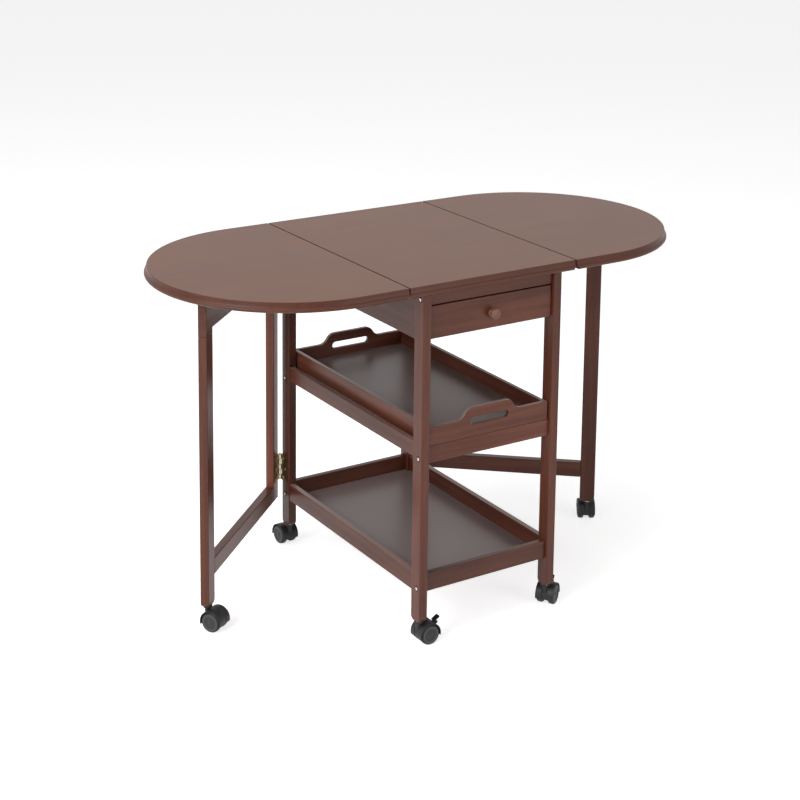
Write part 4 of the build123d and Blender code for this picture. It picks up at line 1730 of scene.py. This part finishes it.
    def lever(self) -> Surface:
        """Brake lever: a barrel between the lugs, a pin through them, and a ribbed foot pad on an arm.

        Returns:
            The surface.
        """
        x, z = self.pivot()
        wide, broad, thick = self.lever_half_width, self.pad_half_width, self.pad_thickness
        (near, far), level = self.pad_span, self.pad_level
        tip, root = 2.5 * MM, 0.8 * MM
        corners = [(near, -broad, root), (far, -broad, tip), (far, broad, tip), (near, broad, root)]
        pad = [soft_plate(rounded_polygon(corners), level - thick / 2, level + thick / 2, 0.6 * MM)]
        for at in self.rib_places:
            middle = near + at * (far - near)
            low = (middle - 0.5 * MM, 1.5 * MM - broad, level + thick / 2 - 0.2 * MM)
            high = (middle + 0.5 * MM, broad - 1.5 * MM, level + thick / 2 + 0.5 * MM)
            pad.append(soft_block(low, high, 0.3 * MM, 1))
        arm = wide - 0.2 * MM
        pad.append(soft_block((-1.6 * MM, -arm, 0.0), (1.6 * MM, arm, level), 0.4 * MM, 1))
        rise = radians(self.lever_rise)
        axes = ((cos(rise), 0, sin(rise)), (0, 1, 0), (-sin(rise), 0, cos(rise)))
        raised = Surface.joined(pad).placed((x, 0, z), axes)
        reach = wide + self.lug_thickness + 0.3 * MM
        ease = 0.2 * MM
        inner, outer, pin_radius = 2.0 * MM, 2.2 * MM, 1.2 * MM
        rows = [(inner, -wide), (outer, ease - wide), (outer, wide - ease), (inner, wide)]
        barrel = turned(np.array(rows), 24)
        pin = turned(np.array([(pin_radius, -reach), (pin_radius, reach)]), 16)
        crossing = [part.placed((x, 0, z), STANDING) for part in (barrel, pin)]
        return Surface.joined([raised, *crossing])

    def build(self) -> None:
        """Make the caster's pieces on their three bodies."""
        shop, name = self.shop, f"{self.place.value}_caster"
        housing, wheels, brake = f"{name}_housing", f"{name}_wheels", f"{name}_brake"
        braked = brake in shop.frame["nodes"]
        shop.instead(housing, f"{housing}_shell", self.set(self.housing(braked)), Finish.HOOD)
        shop.piece(f"{name}_stem", self.set(self.stem()), Finish.STEEL, name)
        shop.instead(wheels, f"{wheels}_pair", self.set(self.wheels()), Finish.WHEEL)
        if braked:
            shop.instead(brake, f"{brake}_pad", self.set(self.lever()), Finish.LEVER)

    def set(self, surface: Surface) -> Surface:
        """Surface moved from the caster's frame to the table's."""
        return surface.placed(self.origin, self.axes)


# Studio


@dataclass(frozen=True)
class Lamp:
    """Square soft lamp, its place and aim in metres and its power in watts."""

    name: str
    place: Triple
    power: float
    size: float = 2.2
    aim: Triple = (0.0, 0.0, 0.4)

    def build(self) -> None:
        """Hang the lamp and turn it to its aim."""
        data = bpy.data.lights.new(self.name, "AREA")
        data.size = self.size
        data.energy = self.power
        made = bpy.data.objects.new(self.name, data)
        made.location = self.place
        facing = Vector(self.aim) - Vector(self.place)
        made.rotation_euler = facing.to_track_quat("-Z", "Y").to_euler()
        bpy.context.scene.collection.objects.link(made)


@dataclass
class Studio:
    """Camera, floor, lamps and white surroundings."""

    position: Triple = (-1.8230, -2.7983, 1.6052)
    yaw: float = 32.464
    pitch: float = 10.236
    roll: float = 0.640
    focal: float = 2.17475
    drop: float = 0.3840
    floor_reach: float = 30.0
    floor_level: float = 0.72
    daylight: float = 0.15
    sensor: float = 36.0
    view_range: float = 200.0
    lamps: tuple[Lamp, ...] = (
        Lamp("left", (-3.6, -1.4, 1.9), 63.0),
        Lamp("left_high", (-3.0, -0.3, 3.0), 60.0),
        Lamp("front", (1.4, -3.9, 1.3), 38.0, 1.8),
        Lamp("overhead", (-0.3, 0.0, 3.6), 28.0),
    )

    def camera(self) -> None:
        """Place a camera whose lens is shifted down, so that uprights stay nearly parallel.

        Yaw turns from +Y towards +X, then come the downward pitch and the roll. The picture's middle
        lies along a = focal * ahead - drop * above, in units of the picture's width, and the lens is
        the length of a. The camera's backward axis is -a while its other two stay in the picture's
        plane; the slant lies in the inverse of its parent, so a camera that is moved elsewhere is a
        plain one.
        """
        yaw, pitch, roll = (radians(angle) for angle in (self.yaw, self.pitch, self.roll))
        ahead = Vector((sin(yaw) * cos(pitch), cos(yaw) * cos(pitch), -sin(pitch)))
        level = Vector((cos(yaw), -sin(yaw), 0.0))
        upright = level.cross(ahead)
        right = level * cos(roll) + upright * sin(roll)
        above = upright * cos(roll) - level * sin(roll)
        middle = ahead * self.focal - above * self.drop
        slanted = Matrix((right, above, -middle.normalized())).transposed().to_4x4()
        stand = bpy.data.objects.new("camera_stand", None)
        data = bpy.data.cameras.new("camera")
        data.sensor_width = self.sensor
        data.lens = self.sensor * middle.length
        data.clip_end = self.view_range
        made = bpy.data.objects.new("camera", data)
        for item in (stand, made):
            bpy.context.scene.collection.objects.link(item)
        made.parent = stand
        made.matrix_parent_inverse = Matrix.Translation(self.position) @ slanted
        bpy.context.scene.camera = made

    def floor(self) -> None:
        """Pale floor that keeps the table's shadow."""
        shader = Shader("pale_floor")
        drift = shader.noise(shader.place(), 0.6, 1.0)
        colour = shader.ramp(drift, [(0.0, 0.88), (1.0, 0.90)])
        glow = shader.mix(shader.background_rays(), (0.0, 0.0, 0.0), (1.0, 1.0, 1.0))
        material = shader.finish(
            Base_Color=colour,
            Roughness=0.9,
            Specular_IOR_Level=0.1,
            Emission_Color=glow,
            Emission_Strength=self.floor_level,
        )
        reach = self.floor_reach
        mesh = bpy.data.meshes.new("floor")
        corners = box_corners((-reach, reach), (-reach, reach), 0.0, 0.0)
        mesh.from_pydata(corners, [], [(0, 1, 2, 3)])
        mesh.materials.append(material)
        made = bpy.data.objects.new("floor", mesh)
        bpy.context.scene.collection.objects.link(made)

    def surroundings(self) -> None:
        """White for camera, mirror and clear rays; soft daylight for the rest."""
        world = bpy.data.worlds.new("surroundings")
        bpy.context.scene.world = world
        nodes = Nodes(world)
        white = {"Color": (1.0, 1.0, 1.0), "Strength": 1.0}
        shown = nodes.node("ShaderNodeBackground", {}, white)
        lit = nodes.node("ShaderNodeBackground", {}, {**white, "Strength": self.daylight})
        mixed = nodes.node("ShaderNodeMixShader", {}, {0: nodes.background_rays(), 1: lit, 2: shown})
        nodes.node("ShaderNodeOutputWorld", {}, {"Surface": mixed})

    def build(self) -> None:
        """Set up the whole studio."""
        self.camera()
        self.floor()
        for lamp in self.lamps:
            lamp.build()
        self.surroundings()
        bpy.context.scene.view_settings.view_transform = "Standard"


def main() -> None:
    """Build the table round its CAD frame and light it."""
    logging.basicConfig(level=logging.INFO, format="%(name)s %(message)s")
    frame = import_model()
    shop = Workshop(frame)
    gates = [Gate(shop, side) for side in Side]
    casters = [Caster(shop, place) for place in CasterPlace]
    cart = (Top(shop), Cart(shop), Drawer(shop), Tray(shop), LeafHinges(shop))
    for assembly in (*cart, *gates, *casters):
        assembly.build()
        LOG.info("built %s", type(assembly).__name__)
    fixed = Surface.joined(gate.fixed_halves() for gate in gates)
    shop.instead("post_hinge_fixed_halves", "post_hinges_fixed", fixed, Finish.HINGE)
    Studio().build()


if __name__ == "__main__":
    main()
